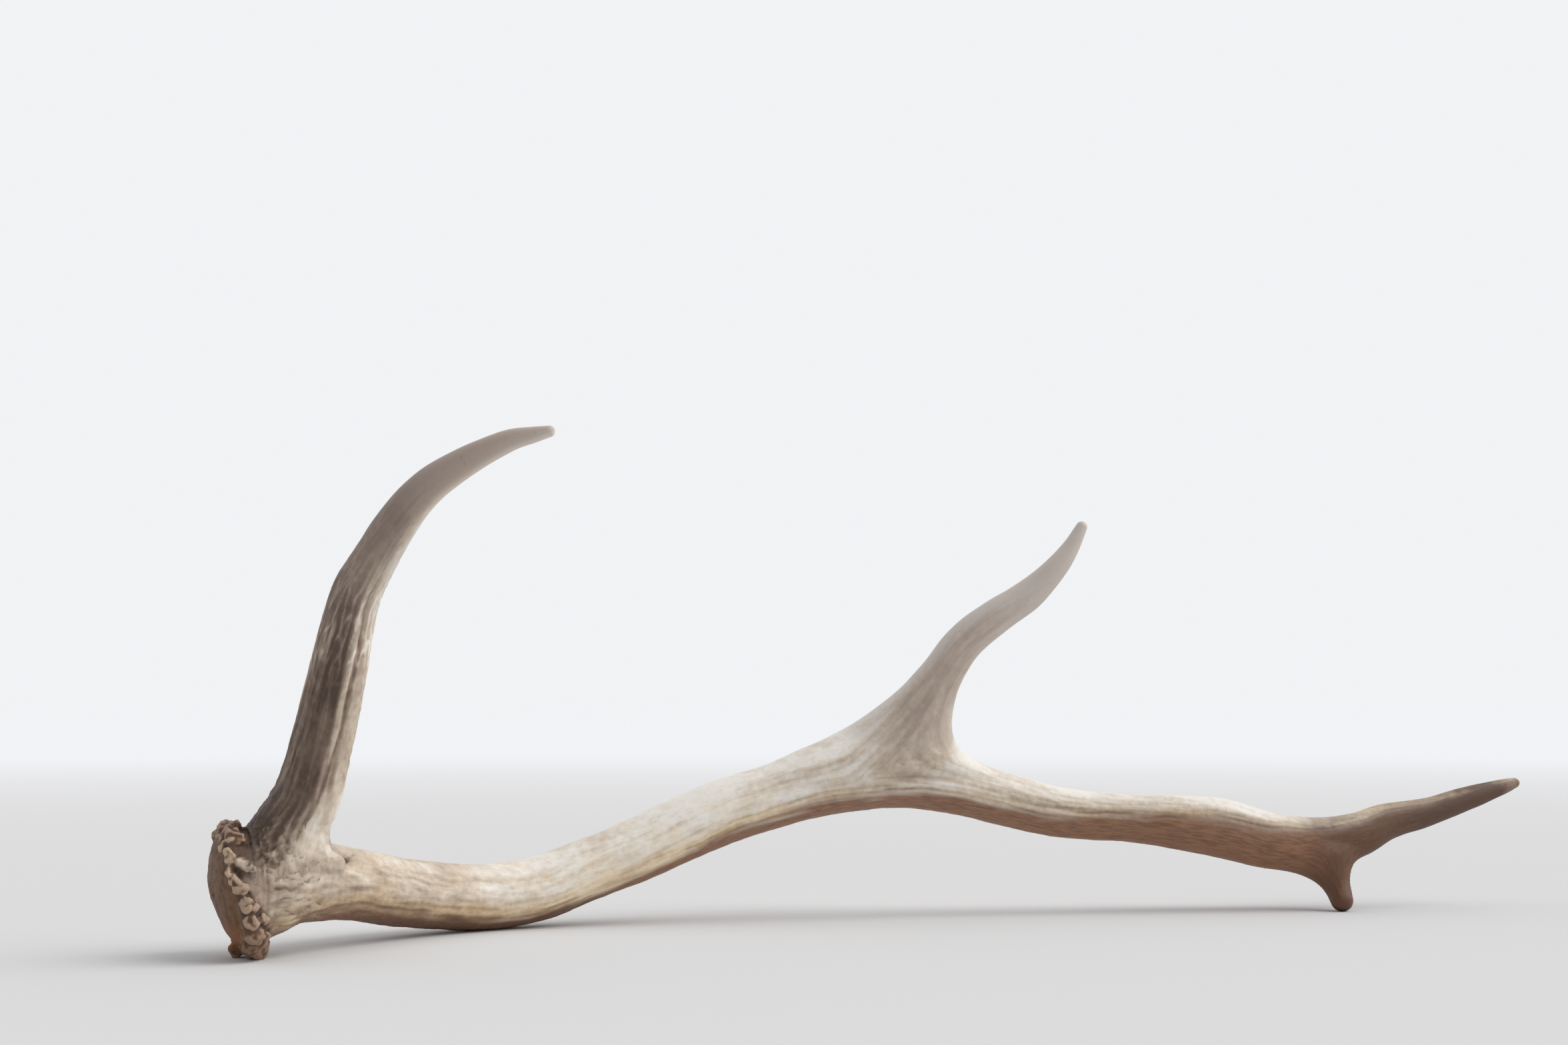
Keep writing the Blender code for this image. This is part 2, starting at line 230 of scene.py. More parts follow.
def locate(points, branch):
    """Distance to a branch's round skin, the way out of it, and the place along the branch."""
    centres = branch["centres"]
    radii = branch["radii"]
    nearest = nearest_sample(points, centres)
    distance = np.full(len(points), np.inf)
    outward = np.zeros_like(points)
    place = np.zeros(len(points))
    for shift in (-1, 0):
        first = np.clip(nearest + shift, 0, len(centres) - 2)
        along = centres[first + 1] - centres[first]
        t = ((points - centres[first]) * along).sum(1) / (along**2).sum(1)
        t = np.clip(t, 0.0, 1.0)
        away = points - centres[first] - t[:, None] * along
        length = np.linalg.norm(away, axis=1)
        signed = length - (radii[first] * (1 - t) + radii[first + 1] * t)
        closer = signed < distance
        distance[closer] = signed[closer]
        outward[closer] = away[closer] / np.maximum(length[closer], TINY)[:, None]
        place[closer] = (first + t)[closer]
    return distance, outward, place


def straighten(points, branch):
    """Distance to a branch, and each point's place beside it as if the branch were straight."""
    distance, _, place = locate(points, branch)
    samples = np.arange(len(branch["length"]))

    def here(values):
        return np.stack([np.interp(place, samples, column) for column in values.T], axis=1)

    away = points - here(branch["centres"])
    ahead = unit(here(branch["ahead"]))
    along = np.interp(place, samples, branch["length"]) + (away * ahead).sum(1)
    across = (away * here(branch["across"])).sum(1)
    over = (away * here(branch["over"])).sum(1)
    return distance, np.stack((across, over, along), axis=1)


def smooth_least(one, other, width):
    """The lesser of two values, with the change between them made smooth, and the first's share."""
    share = np.clip(0.5 + 0.5 * (other - one) / width, 0.0, 1.0)
    return share * one + (1 - share) * other - width * share * (1 - share), share


def blend(one, other, web):
    """Smooth union of two signed distances, with their outward directions."""
    distance, share = smooth_least(one[0], other[0], web)
    share = share[:, None]
    return distance, share * one[1] + (1 - share) * other[1]


def burr_axes():
    """Unit vectors of the burr: out of the seal, up the ring, and along the ring towards -Y."""
    yaw = math.radians(BURR_YAW)
    tilt = math.radians(BURR_TILT)
    level = math.cos(tilt)
    out = -np.array((math.cos(yaw) * level, math.sin(yaw) * level, math.sin(tilt)))
    up = unit(UP + math.sin(tilt) * out)
    return out, up, np.cross(up, out)


def ring_bend(angle):
    """How far the ring stands forward of its plane at an angle in degrees."""
    return RING_BEND * band(angle, RING_BEND_ANGLE, RING_BEND_SPREAD)


def pearl_row(count, ring, setback, size, phase):
    """One row of uneven pearls: angle, ring radius, setback and size of each."""
    row = []
    for number in range(count):
        wander = math.sin(PEARL_WANDER * number + phase)
        drift = PEARL_SCATTER * math.cos(PEARL_DRIFT * number + phase)
        angle = 360 * (number + 0.5 * drift) / count
        row.append((angle, ring + drift, setback + wander, size + PEARL_SCATTER * wander))
    return row


def ring_pearls():
    """Centre and radius of every pearl of the coronet."""
    out, up, side = burr_axes()
    rows = list(BIG_PEARLS) + pearl_row(*PEARL_ROWS[0])
    low, high = NARROW_RING
    for row in PEARL_ROWS[1:]:
        rows.extend(pearl for pearl in pearl_row(*row) if not low < pearl[0] < high)
    pearls = []
    for angle, ring, setback, size in rows:
        turn = math.radians(angle)
        place = BURR_CENTRE + ring * (math.cos(turn) * up + math.sin(turn) * side)
        pearls.append((place + (ring_bend(angle) - setback) * out, size))
    return pearls


def distance_to_seal(points):
    """Signed distance to the flattened ball that makes the seal's dome."""
    out, _, _ = burr_axes()
    offset = points - BURR_CENTRE
    height = offset @ out
    spread = offset - height[:, None] * out
    scaled = spread / SEAL_RADIUS + (height / SEAL_DOME)[:, None] * out
    steep = spread / SEAL_RADIUS**2 + (height / SEAL_DOME**2)[:, None] * out
    reach = np.linalg.norm(scaled, axis=1)
    slope = np.maximum(np.linalg.norm(steep, axis=1), TINY)
    return reach * (reach - 1) / slope, steep / slope[:, None]


def distance_to_ball(points, centre, radius):
    """Signed distance to a ball, and its outward direction."""
    away = points - centre
    length = np.maximum(np.linalg.norm(away, axis=1), TINY)
    return length - radius, away / length[:, None]


def add_burr(points, skin):
    """Blend the seal, the pearls and the knobs into the skin near the burr."""
    distance, direction = skin
    near = np.linalg.norm(points - BURR_CENTRE, axis=1) < BURR_REACH
    local = points[near]
    fused = blend((distance[near], direction[near]), distance_to_seal(local), SEAL_WEB)
    uneven = warped(local, *UNEVEN_PEARLS)
    for centre, size in ring_pearls():
        fused = blend(fused, distance_to_ball(uneven, centre, size), PEARL_WEB)
    for *centre, size in KNOBS:
        fused = blend(fused, distance_to_ball(local, centre, size), KNOB_WEB)
    distance[near], direction[near] = fused
    return distance, direction


def web_width(outward, web):
    """Width of a fork's web on each side of the beam: none on the side away from the tine."""
    width, facing = web
    towards = WEB_FADE * (outward @ unit(facing)) + WEB_WRAP
    return NARROWEST_WEB + width * ramp(towards, 0.0, 1.0)


def antler_skin(points):
    """Signed distance to the whole antler's skin, and its outward direction."""
    distance, outward, _ = locate(points, BRANCHES["beam"])
    skin = (distance, outward)
    for name, web in WEBS.items():
        *tine, _ = locate(points, BRANCHES[name])
        skin = blend(skin, tine, web_width(outward, web))
    return add_burr(points, skin)


def fit_to_skin(points, steps):
    """Points moved onto the antler's skin."""
    for _ in range(steps):
        distance, direction = antler_skin(points)
        steepness = np.maximum((direction**2).sum(1), LEAST_STEEPNESS)
        points = points - (distance / steepness)[:, None] * direction
    return points


# ---- mesh building


def add_object(name, data):
    """A new object in the scene."""
    piece = bpy.data.objects.new(name, data)
    bpy.context.scene.collection.objects.link(piece)
    return piece


def finished_mesh(piece):
    """The object's mesh with its modifiers applied. The object itself is removed."""
    graph = bpy.context.evaluated_depsgraph_get()
    mesh = bpy.data.meshes.new_from_object(piece.evaluated_get(graph))
    bpy.data.objects.remove(piece)
    return mesh


def add_tube(branch):
    """A round curve with the branch's own thickness at each of its points."""
    curve = bpy.data.curves.new("rough", "CURVE")
    curve.dimensions = "3D"
    curve.bevel_depth = MM
    curve.bevel_resolution = TUBE_DETAIL
    curve.use_fill_caps = True
    line = curve.splines.new("POLY")
    line.points.add(len(branch["centres"]) - 1)
    for point, (x, y, z), radius in zip(line.points, branch["centres"], branch["radii"]):
        point.co = (x * MM, y * MM, z * MM, 1.0)
        point.radius = radius
    return add_object("rough", curve)


def add_ball(centre, radius, flatness=1.0, axis=(0, 0, 1)):
    """A ball, flattened along its axis."""
    mesh = bpy.data.meshes.new("rough")
    work = bmesh.new()
    bmesh.ops.create_icosphere(work, subdivisions=BALL_DETAIL, radius=1.0)
    turn = Vector(axis).to_track_quat("Z", "Y").to_matrix().to_4x4()
    size = Matrix.Diagonal((radius * MM, radius * MM, flatness * radius * MM, 1.0))
    work.transform(Matrix.Translation(Vector(centre) * MM) @ turn @ size)
    work.to_mesh(mesh)
    work.free()
    return add_object("rough", mesh)


def rough_shapes():
    """Tubes and balls that together fill the antler before its skin is fitted."""
    pieces = []
    for branch in BRANCHES.values():
        pieces.append(add_tube(branch))
        pieces.append(add_ball(branch["centres"][-1], branch["radii"][-1]))
    out, _, _ = burr_axes()
    pieces.append(add_ball(BURR_CENTRE, SEAL_RADIUS, SEAL_DOME / SEAL_RADIUS, out))
    for centre, size in ring_pearls():
        pieces.append(add_ball(centre, size))
    return pieces


def mesh_arrays(mesh):
    """A quad mesh's points in millimetres, and its faces."""
    points = np.empty(3 * len(mesh.vertices), dtype=np.float32)
    mesh.vertices.foreach_get("co", points)
    corners = np.empty(len(mesh.loops), dtype=np.int32)
    mesh.loops.foreach_get("vertex_index", corners)
    return points.reshape(-1, 3).astype(float) / MM, corners.reshape(-1, 4)


def make_mesh(name, points, faces):
    """A mesh from points in millimetres and faces that all have the same number of corners."""
    sides = faces.shape[1]
    mesh = bpy.data.meshes.new(name)
    mesh.vertices.add(len(points))
    mesh.vertices.foreach_set("co", (points * MM).astype(np.float32).ravel())
    mesh.loops.add(faces.size)
    mesh.loops.foreach_set("vertex_index", faces.astype(np.int32).ravel())
    mesh.polygons.add(len(faces))
    mesh.polygons.foreach_set("loop_start", np.arange(0, faces.size, sides, dtype=np.int32))
    mesh.update(calc_edges=True)
    return mesh


def remesh(mesh, voxel):
    """The surface rebuilt as one even skin of quads: its points and faces."""
    piece = add_object("skin", mesh)
    modifier = piece.modifiers.new("one skin", "REMESH")
    modifier.mode = "VOXEL"
    modifier.voxel_size = voxel * MM
    return mesh_arrays(finished_mesh(piece))


def join_meshes(pieces):
    """One mesh holding the surfaces of all the pieces, which are removed."""
    vertices = []
    faces = []
    for piece in pieces:
        mesh = finished_mesh(piece)
        start = len(vertices)
        vertices.extend(vertex.co.copy() for vertex in mesh.vertices)
        faces.extend([start + index for index in face.vertices] for face in mesh.polygons)
    mesh = bpy.data.meshes.new("rough")
    mesh.from_pydata(vertices, [], faces)
    return mesh


def fine_skin():
    """The whole antler as one fine smooth skin, before its relief."""
    points, faces = remesh(join_meshes(rough_shapes()), COARSE_VOXEL)
    points = fit_to_skin(points, COARSE_STEPS)
    voxel = FINE_VOXEL
    points, faces = remesh(make_mesh("coarse", points, faces), voxel)
    return fit_to_skin(points, FINE_STEPS), faces


class Skin:
    """A quad skin with the sums over its neighbours that smoothing and normals need."""

    def __init__(self, points, faces):
        self.points = points
        self.faces = faces
        ends = np.sort(np.vstack([faces[:, [i, (i + 1) % 4]] for i in range(4)]), axis=1)
        keys = np.unique(ends[:, 0].astype(np.int64) * len(points) + ends[:, 1])
        one, other = np.divmod(keys, len(points))
        self.tail = np.concatenate((one, other))
        self.head = np.concatenate((other, one))
        self.degree = np.maximum(np.bincount(self.tail, minlength=len(points)), 1)

    def smoothed(self, values, rounds):
        """Values averaged with their neighbours', this many times over."""
        values = values.copy()
        columns = values.reshape(len(values), -1)
        for _ in range(rounds):
            for number in range(columns.shape[1]):
                total = np.bincount(self.tail, weights=columns[self.head, number])
                columns[:, number] = 0.5 * columns[:, number] + 0.5 * total / self.degree
        return values

    def normals(self):
        """Unit normal at each point."""
        corner = self.points[self.faces]
        facing = np.cross(corner[:, 2] - corner[:, 0], corner[:, 3] - corner[:, 1])
        normal = np.zeros_like(self.points)
        for side in range(4):
            for axis in range(3):
                normal[:, axis] += np.bincount(
                    self.faces[:, side], weights=facing[:, axis], minlength=len(normal)
                )
        return unit(normal)


# ---- noise and patterns

# What a lattice cell's place and its seed are multiplied by, and how the product is then mixed.
CELL_FACTORS = (73856093, 19349663, 83492791)
SEED_FACTOR = 2654435761
SHIFTS_AND_FACTORS = ((13, 1274126177), (15, 2246822519))
LAST_SHIFT = 16
WORD = 0xFFFFFFFF
# The tables that a cell's number picks from have one row more than these.
GRADIENT_MASK = 255
JITTER_MASK = 1023
# Brings the noise up to about 1.
NOISE_GAIN = 1.6
# Each layer of noise is this much finer than the last, and their sum is divided by the second.
LAYER_RATIO = 2.1
LAYER_SUM = 1.6
# How far beads stray from the middles of their cells.
JITTER_REACH = 0.4


def scrambled(cells, seed):
    """A repeatable whole number for each lattice cell."""
    mixed = seed * SEED_FACTOR
    for column, factor in zip(cells.T, CELL_FACTORS):
        mixed = mixed ^ (column * factor)
    for shift, factor in SHIFTS_AND_FACTORS:
        mixed = (mixed ^ (mixed >> shift)) * factor & WORD
    return mixed ^ (mixed >> LAST_SHIFT)


def random_spread(seed, count, axes):
    """Seeded random numbers from -1 to 1."""
    return np.random.default_rng(seed).uniform(-1, 1, (count, axes))


GRADIENTS = unit(random_spread(1, GRADIENT_MASK + 1, 3))
JITTER = random_spread(2, JITTER_MASK + 1, 4)


def noise(points, size, seed):
    """Smooth noise from about -1 to 1. Its features have this size, one number or one an axis."""
    place = points / size
    cell = np.floor(place).astype(np.int64)
    inside = place - cell
    smooth = inside**3 * (inside * (inside * 6 - 15) + 10)
    total = np.zeros(len(points))
    for corner in itertools.product((0, 1), repeat=3):
        gradient = GRADIENTS[scrambled(cell + corner, seed) & GRADIENT_MASK]
        reach = ((inside - corner) * gradient).sum(1)
        weight = np.prod(np.where(corner, smooth, 1 - smooth), axis=1)
        total += weight * reach
    return NOISE_GAIN * total


def layered_noise(points, size, seed, layers=3):
    """Noise with finer and weaker noise on top of it."""
    total = np.zeros(len(points))
    for layer in range(layers):
        finer = np.asarray(size) / LAYER_RATIO**layer
        total += noise(points, finer, seed + layer) / 2**layer
    return total / LAYER_SUM


def beads(points, size, seed):
    """Distance to the nearest of scattered beads, in bead spacings, and that bead's own number."""
    place = points / size
    cell = np.floor(place).astype(np.int64)
    nearest = np.full(len(points), np.inf)
    number = np.zeros(len(points))
    for corner in itertools.product((-1, 0, 1), repeat=3):
        other = cell + corner
        jitter = JITTER[scrambled(other, seed) & JITTER_MASK]
        gap = np.linalg.norm(place - other - 0.5 - JITTER_REACH * jitter[:, :3], axis=1)
        closer = gap < nearest
        nearest[closer] = gap[closer]
        number[closer] = 0.5 + 0.5 * jitter[closer, 3]
    return nearest, number


def warped(points, reach, size, seed):
    """Points moved about by noise."""
    moves = [noise(points, size, seed + axis) for axis in range(3)]
    return points + reach * np.stack(moves, axis=1)


# Turns the noise's lattice away from the branches' own directions.
SLANT = np.array(Matrix.Rotation(0.7, 3, (0.4, -0.7, 0.6)))


def slanted(points, reach, size, seed):
    """Points moved about by noise and turned."""
    return warped(points, reach, size, seed) @ SLANT


def ramp(value, low, high):
    """0 below low, 1 above high and smooth between. Low may be the greater."""
    share = np.clip((value - low) / (high - low), 0.0, 1.0)
    return share * share * (3 - 2 * share)


def between(value, start, full, fade, end):
    """0 up to start, 1 from full to fade, 0 again from end, and smooth between."""
    return ramp(value, start, full) * ramp(value, end, fade)


def band(value, middle, width):
    """1 at the middle value, falling smoothly to 0 on both sides of it."""
    return np.exp(-(((value - middle) / width) ** 2))


def gap_to_line(points, start, end):
    """Distance from each point to a straight line between two places."""
    first = np.array(start)
    line = np.array(end) - first
    t = np.clip((points - first) @ line / (line @ line), 0.0, 1.0)
    return np.linalg.norm(points - first - t[:, None] * line, axis=1)


# ---- the survey of the skin

# Level directions: towards the front of the antler, and towards its right as seen from there.
FRONT = unit((-0.3, -0.95, 0.0))
RIGHT = unit((0.95, -0.3, 0.0))
# Patterns are laid out as if every branch were this thick, so that they fan out at its root.
PATTERN_RADIUS = 13.0
FORK_BLEND = 2.5
TURN_BLEND = 14.0
PLACE_SMOOTHING = 24
NORMAL_SMOOTHING = 4
# Where the coronet is narrow and where it is brown: degrees round the ring, and spread.
NARROW_MIDDLE = (82.0, 30.0)
BROWN_PEARLS = (94.0, 20.0)
# Both ends of the long white pearl, and the gaps from it at which its colour ends and is full.
WHITE_PEARL = ((-310.5, -28.0, 38.4), (-307.3, -29.0, 35.8))
WHITE_GAPS = (3.4, 1.2)
# Where the seal ends and is full: ahead of the ring's plane, and away from its axis.
SEAL_AHEAD = (-1.0, 1.5)
SEAL_REACH = (23.5, 20.8)
# Where the coronet starts ahead of the ring, how much further on it is full, and how far from
# the ring's axis it starts and is full.
CORONET_BACK = -8.5
CORONET_FADE = 2.8
CORONET_REACH = (17.0, 21.0)
# How much further ahead it starts, and further out it is full, where it is narrow.
NARROW_BACK = 3.7
NARROW_REACH = 1.5
# How far behind the ring the lines of growth start and are full.
SETTLING = (3.0, 14.0)


def turn_round(branch, place, side):
    """Degrees round a branch: 0 in front, 90 towards the given side, 180 at the back."""
    across = branch["across"][0]
    over = branch["over"][0]
    front = unit((across @ FRONT, over @ FRONT))
    right = np.array((-front[1], front[0]))
    if right @ (across @ side, over @ side) < 0:
        right = -right
    return np.degrees(np.arctan2(place[:, :2] @ right, place[:, :2] @ front))


def lift_of(turn):
    """Degrees above the front line or the back line, whichever is nearer."""
    return np.degrees(np.arcsin(np.sin(np.radians(turn))))


class Survey:
    """What the relief and the colours are worked out from, for each point of the skin."""

    def __init__(self, skin):
        self.points = skin.points
        self.x, self.y, self.z = skin.points.T
        self.normals = skin.smoothed(skin.normals(), NORMAL_SMOOTHING)
        self.distance, self.turn, self.along, self.rolled = {}, {}, {}, {}
        for name, branch in BRANCHES.items():
            self.distance[name], place = straighten(self.points, branch)
            place = skin.smoothed(place, PLACE_SMOOTHING)
            turn = turn_round(branch, place, UP if name == "beam" else RIGHT)
            angle = np.radians(turn)
            circle = PATTERN_RADIUS * np.stack((np.cos(angle), np.sin(angle)), axis=1)
            self.turn[name] = turn
            self.along[name] = place[:, 2]
            self.rolled[name] = np.column_stack((circle, place[:, 2]))
        distances = np.array(list(self.distance.values()))
        closeness = np.exp(-(distances - distances.min(0)) / FORK_BLEND)
        self.share = dict(zip(BRANCHES, closeness / closeness.sum(0)))
        self.add_flow()
        self.add_burr()

    def add_flow(self):
        """How high up its branch's side each point is, and its place beside the lines of growth.

        The lines run along the beam, and those above its middle turn up into the tines.
        """
        lift = lift_of(self.turn["beam"])
        for name in ("brow_tine", "tray_tine"):
            lift, _ = smooth_least(lift, np.abs(lift_of(self.turn[name])), TURN_BLEND)
        inner = np.abs(lift_of(self.turn["inner_tine"]))
        self.lift = -smooth_least(-lift, inner, TURN_BLEND)[0]
        round_it = PATTERN_RADIUS * np.radians(self.lift)
        level = self.x + 1.7 * self.y
        upright = self.z - 0.6 * self.y + 0.3 * self.x
        self.flow = np.stack((round_it, level, upright), axis=1)

    def add_burr(self):
        """Each point's place about the burr, and the shares of the seal and of the coronet."""
        out, up, side = burr_axes()
        offset = self.points - BURR_CENTRE
        ahead = offset @ out
        reach = np.linalg.norm(offset - ahead[:, None] * out, axis=1)
        angle = np.degrees(np.arctan2(offset @ side, offset @ up))
        narrow = band(angle, *NARROW_MIDDLE)
        from_ring = ahead - ring_bend(angle)
        back = CORONET_BACK + NARROW_BACK * narrow
        inner, outer = CORONET_REACH
        self.behind_ring = -ahead
        self.settled = ramp(self.behind_ring, *SETTLING)
        self.seal = ramp(ahead, *SEAL_AHEAD) * ramp(reach, *SEAL_REACH)
        pearly = ramp(from_ring, back, back + CORONET_FADE)
        pearly *= ramp(reach, inner, outer + NARROW_REACH * narrow)
        self.white_pearl = ramp(gap_to_line(self.points, *WHITE_PEARL), *WHITE_GAPS)
        self.brown_pearls = band(angle, *BROWN_PEARLS)
        self.coronet = pearly * (1 - self.seal) * (1 - self.white_pearl)


# ---- the relief

# How high up its side the beam is brown from below, in degrees above the front line, along X. That
# brown is partly the bone's own and partly painted shade of its underside.
BROWN_PLACES = (-310, -285, -262, -200, -150, -95, -40, 0, 45, 104, 150, 190, 240, 315)
BROWN_EDGES = (-75, -58, -40, -37, -44, -38, -34, -28, -20, 2, 12, 24, 38, 44)
# The long grooves beside that edge: degrees above it, and depth.
LONG_GROOVES = ((19.0, 0.24), (9.0, 0.36), (1.0, 0.3), (32.0, 0.12), (60.0, 0.14))
GROOVE_WIDTH = 4.0

# Where along it the brow tine is smooth, and where it is rough.
BROW_ROUGHNESS = (165, 105)
# The skin of each branch. First how rough its smooth end is, and where along it it is smooth and
# rough. Then its wrinkles: height, size and seed. Then lines: height, pitch, length and seed.
TEXTURES = {
    "beam": (
        (0.3, 600, 430), (0.22, (2.3, 2.3, 5.0), 11),
        ((0.17, 3.4, 24.0, 12), (0.13, 1.6, 11.0, 13)),
    ),
    "brow_tine": (
        (0.0, *BROW_ROUGHNESS), (0.16, (1.8, 1.8, 4.4), 45),
        ((0.22, 3.0, 34.0, 41), (0.14, 1.5, 14.0, 42)),
    ),
    "tray_tine": (
        (0.1, 100, 35), (0.08, (1.8, 1.8, 4.0), 53),
        ((0.2, 3.4, 26.0, 51), (0.08, 1.7, 12.0, 52)),
    ),
    "inner_tine": ((1.0, 40, 0), (0.06, (2.0, 2.0, 4.0), 61), ()),
}
# How the wrinkles wander: reach, size and seed.
WANDER = {"beam": (0.8, 4.0, 14)}


def flow_lines(survey, pitch, length, seed):
    """Smooth noise drawn out along the lines of growth, which settle behind the coronet."""
    return survey.settled * noise(survey.flow, (pitch, length, length), seed)


def added_lines(survey, lines):
    """Lines of growth added up, each by its strength, pitch, length and seed."""
    return sum(strength * flow_lines(survey, *line) for strength, *line in lines)


def texture(survey, name):
    """Height of a branch's wrinkles and lines of growth, less where it is smooth."""
    (least, smooth, rough), (height, size, seed), lines = TEXTURES[name]
    place = survey.rolled[name]
    if name in WANDER:
        place = warped(place, *WANDER[name])
    wrinkles = height * layered_noise(place, size, seed)
    roughness = least + (1 - least) * ramp(survey.along[name], smooth, rough)
    return roughness * (added_lines(survey, lines) + wrinkles)


def brown_edge(survey):
    """Height of the brown underside's edge at each point, in degrees above the front line."""
    wander = 5.0 * noise(survey.points, 30.0, 21) + 2.5 * noise(survey.points, 9.0, 22)
    return np.interp(survey.x, BROWN_PLACES, BROWN_EDGES) + wander


def long_grooves(survey):
    """Depth of the grooves that run along the beam beside its brown underside."""
    above = survey.lift - brown_edge(survey)
    grooves = np.zeros(len(above))
    for number, (level, depth) in enumerate(LONG_GROOVES):
        strength = ramp(noise(survey.points, 34.0, 30 + number), -0.3, 0.25)
        grooves += depth * strength * band(above, level, GROOVE_WIDTH)
    return grooves * survey.share["beam"]


# The brow tine's pale ridge in degrees round the tine, at places along it. All that follows
# is in degrees from where the ridge is at the tine's root.
RIDGE_PLACES = (12, 24, 42, 60, 104, 125, 150)
RIDGE_TURNS = (8, 12, 22, 30, 27, 28, 40)
ROOT_RIDGE = 16.0
RIDGE_GROOVE = 26.0
LEFT_GROOVES = (-46.0, -70.0)
# The middle and the spread of the beads, in degrees round the tine.
BEADED_SIDE = (88.0, 34.0)


def turn_from_ridge(survey):
    """Degrees round the brow tine, with its ridge and what lies beside it drawn straight."""
    along = survey.along["brow_tine"]
    wander = 4.0 * noise(survey.rolled["brow_tine"], (60.0, 60.0, 26.0), 40)
    ridge = np.interp(along, RIDGE_PLACES, RIDGE_TURNS)
    return survey.turn["brow_tine"] + ROOT_RIDGE + wander - ridge


def brow_forms(survey):
    """Height of the brow tine's ridge, grooves and beads, which fade towards its smooth end."""
    turn = turn_from_ridge(survey)
    ridge = 0.4 * band(turn, ROOT_RIDGE, 7.0) - 0.5 * band(turn, RIDGE_GROOVE, 4.5)
    for middle in LEFT_GROOVES:
        ridge -= 0.3 * band(turn, middle, 5.0)
    ridge *= ramp(survey.along["brow_tine"], 20.0, 48.0)
    place = warped(survey.rolled["brow_tine"], 0.5, 3.0, 44)
    gap, number = beads(place, (2.6, 2.6, 3.8), 43)
    beading = (0.4 + 0.6 * number) * ramp(gap, 0.7, 0.12)
    beaded = 0.42 * band(survey.turn["brow_tine"], *BEADED_SIDE) * beading
    return ramp(survey.along["brow_tine"], *BROW_ROUGHNESS) * (ridge + beaded)


def seal_relief(survey):
    """The grain, the unevenness and the pits of the seal."""
    grain = 0.24 * layered_noise(survey.points, 1.9, 71) + 0.3 * noise(survey.points, 6.5, 74)
    gap, number = beads(slanted(survey.points, 1.0, 3.0, 75), 4.6, 72)
    return grain - 0.8 * ramp(number, 0.7, 0.8) * ramp(gap, 0.26, 0.06)


def coronet_relief(survey):
    """Ripples and small knobs on the round pearls."""
    gap, number = beads(slanted(survey.points, 1.4, 4.0, 88), 3.6, 86)
    knobs = (0.3 + 0.7 * number) * ramp(gap, 0.8, 0.1)
    return 0.85 * knobs + 0.4 * layered_noise(survey.points, 2.8, 87, 2) - 0.5


# The root: how far behind the ring its own pattern starts, is full, fades and ends, and the
# heights between which it is pitted and between which it is rugged.
ROOT_STRETCH = (-1.0, 4.0, 18.0, 46.0)
PITTED_HEIGHTS = (22.0, 36.0, 52.0, 72.0)
RUGGED_HEIGHTS = (26.0, 38.0, 50.0, 70.0)
# The lines that fan out over it: their pitch, length and seed.
FANNED_LINES = (2.3, 22.0, 85)


def root_zone(survey):
    """How near each point is to the coronet, on its beam's side."""
    return between(survey.behind_ring, *ROOT_STRETCH)


def root_pits(survey):
    """Uneven brown hollows that crowd the coronet's upper side: 0 where there is none."""
    crowded = between(survey.z, *PITTED_HEIGHTS)
    crowded *= ramp(survey.behind_ring, 40.0, 10.0)
    hollows = layered_noise(slanted(survey.points, 1.5, 4.0, 84), 3.3, 82, 2)
    least = 0.42 - 0.7 * crowded
    return root_zone(survey) * crowded * ramp(hollows, least, least + 0.45)


def root_relief(survey):
    """Warts and lumps behind the coronet, thick above."""
    upper = between(survey.z, *RUGGED_HEIGHTS)
    place = slanted(survey.points, 1.4, 4.0, 84)
    gap, number = beads(place, 5.2, 81)
    warts = ramp(number, 0.5, 0.9) * ramp(gap, 0.6, 0.1)
    rugged = 0.8 * warts + 0.42 * layered_noise(place, 4.2, 83) - 0.1
    fanned = 0.32 * flow_lines(survey, *FANNED_LINES)
    return root_zone(survey) * ((0.15 + 0.85 * upper) * rugged + fanned)


def dashes(survey):
    """Brown streaks sunk along the lines of growth: 0 where there is none."""
    streaks = noise(warped(survey.flow, 0.9, 6.0, 92), (1.25, 9.0, 9.0), 89)
    common = 0.62 * root_zone(survey)
    common += 0.1 * survey.share["brow_tine"] * ramp(survey.along["brow_tine"], 140.0, 90.0)
    return survey.settled * ramp(streaks, 0.75 - common, 1.05 - common)


# Pits and cracks: both ends, half width and depth.
MARKS = (
    ((-268.6, 1.0, 38.6), (-265.4, 4.2, 36.8), 1.9, 1.1),
    ((-265.4, 4.2, 36.8), (-264.2, 5.5, 34.2), 2.4, 1.6),
    ((-265.4, 4.2, 36.8), (-261.0, 8.0, 38.4), 1.8, 0.9),
    ((-8.2, 39.2, 71.3), (-5.0, 39.4, 70.2), 1.7, 0.5),
    ((1.1, 38.9, 70.3), (3.8, 39.5, 69.1), 1.5, 0.4),
    ((9.3, 37.7, 73.0), (15.1, 38.9, 69.6), 1.5, 0.4),
    ((-17.0, 43.6, 65.6), (-9.7, 41.8, 67.3), 1.5, 0.4),
    ((-311.4, -27.5, 40.3), (-307.4, -30.0, 36.6), 0.45, 0.4),
    ((-238.6, -67.2, 190.1), (-236.7, -68.1, 187.1), 0.45, 0.3),
    ((-214.4, -83.9, 199.6), (-214.2, -83.9, 196.4), 0.45, 0.3),
)


def marks(survey):
    """Depth of the pits and cracks."""
    depth = np.zeros(len(survey.points))
    for start, end, width, deep in MARKS:
        depth += deep * band(gap_to_line(survey.points, start, end), 0.0, width)
    return depth


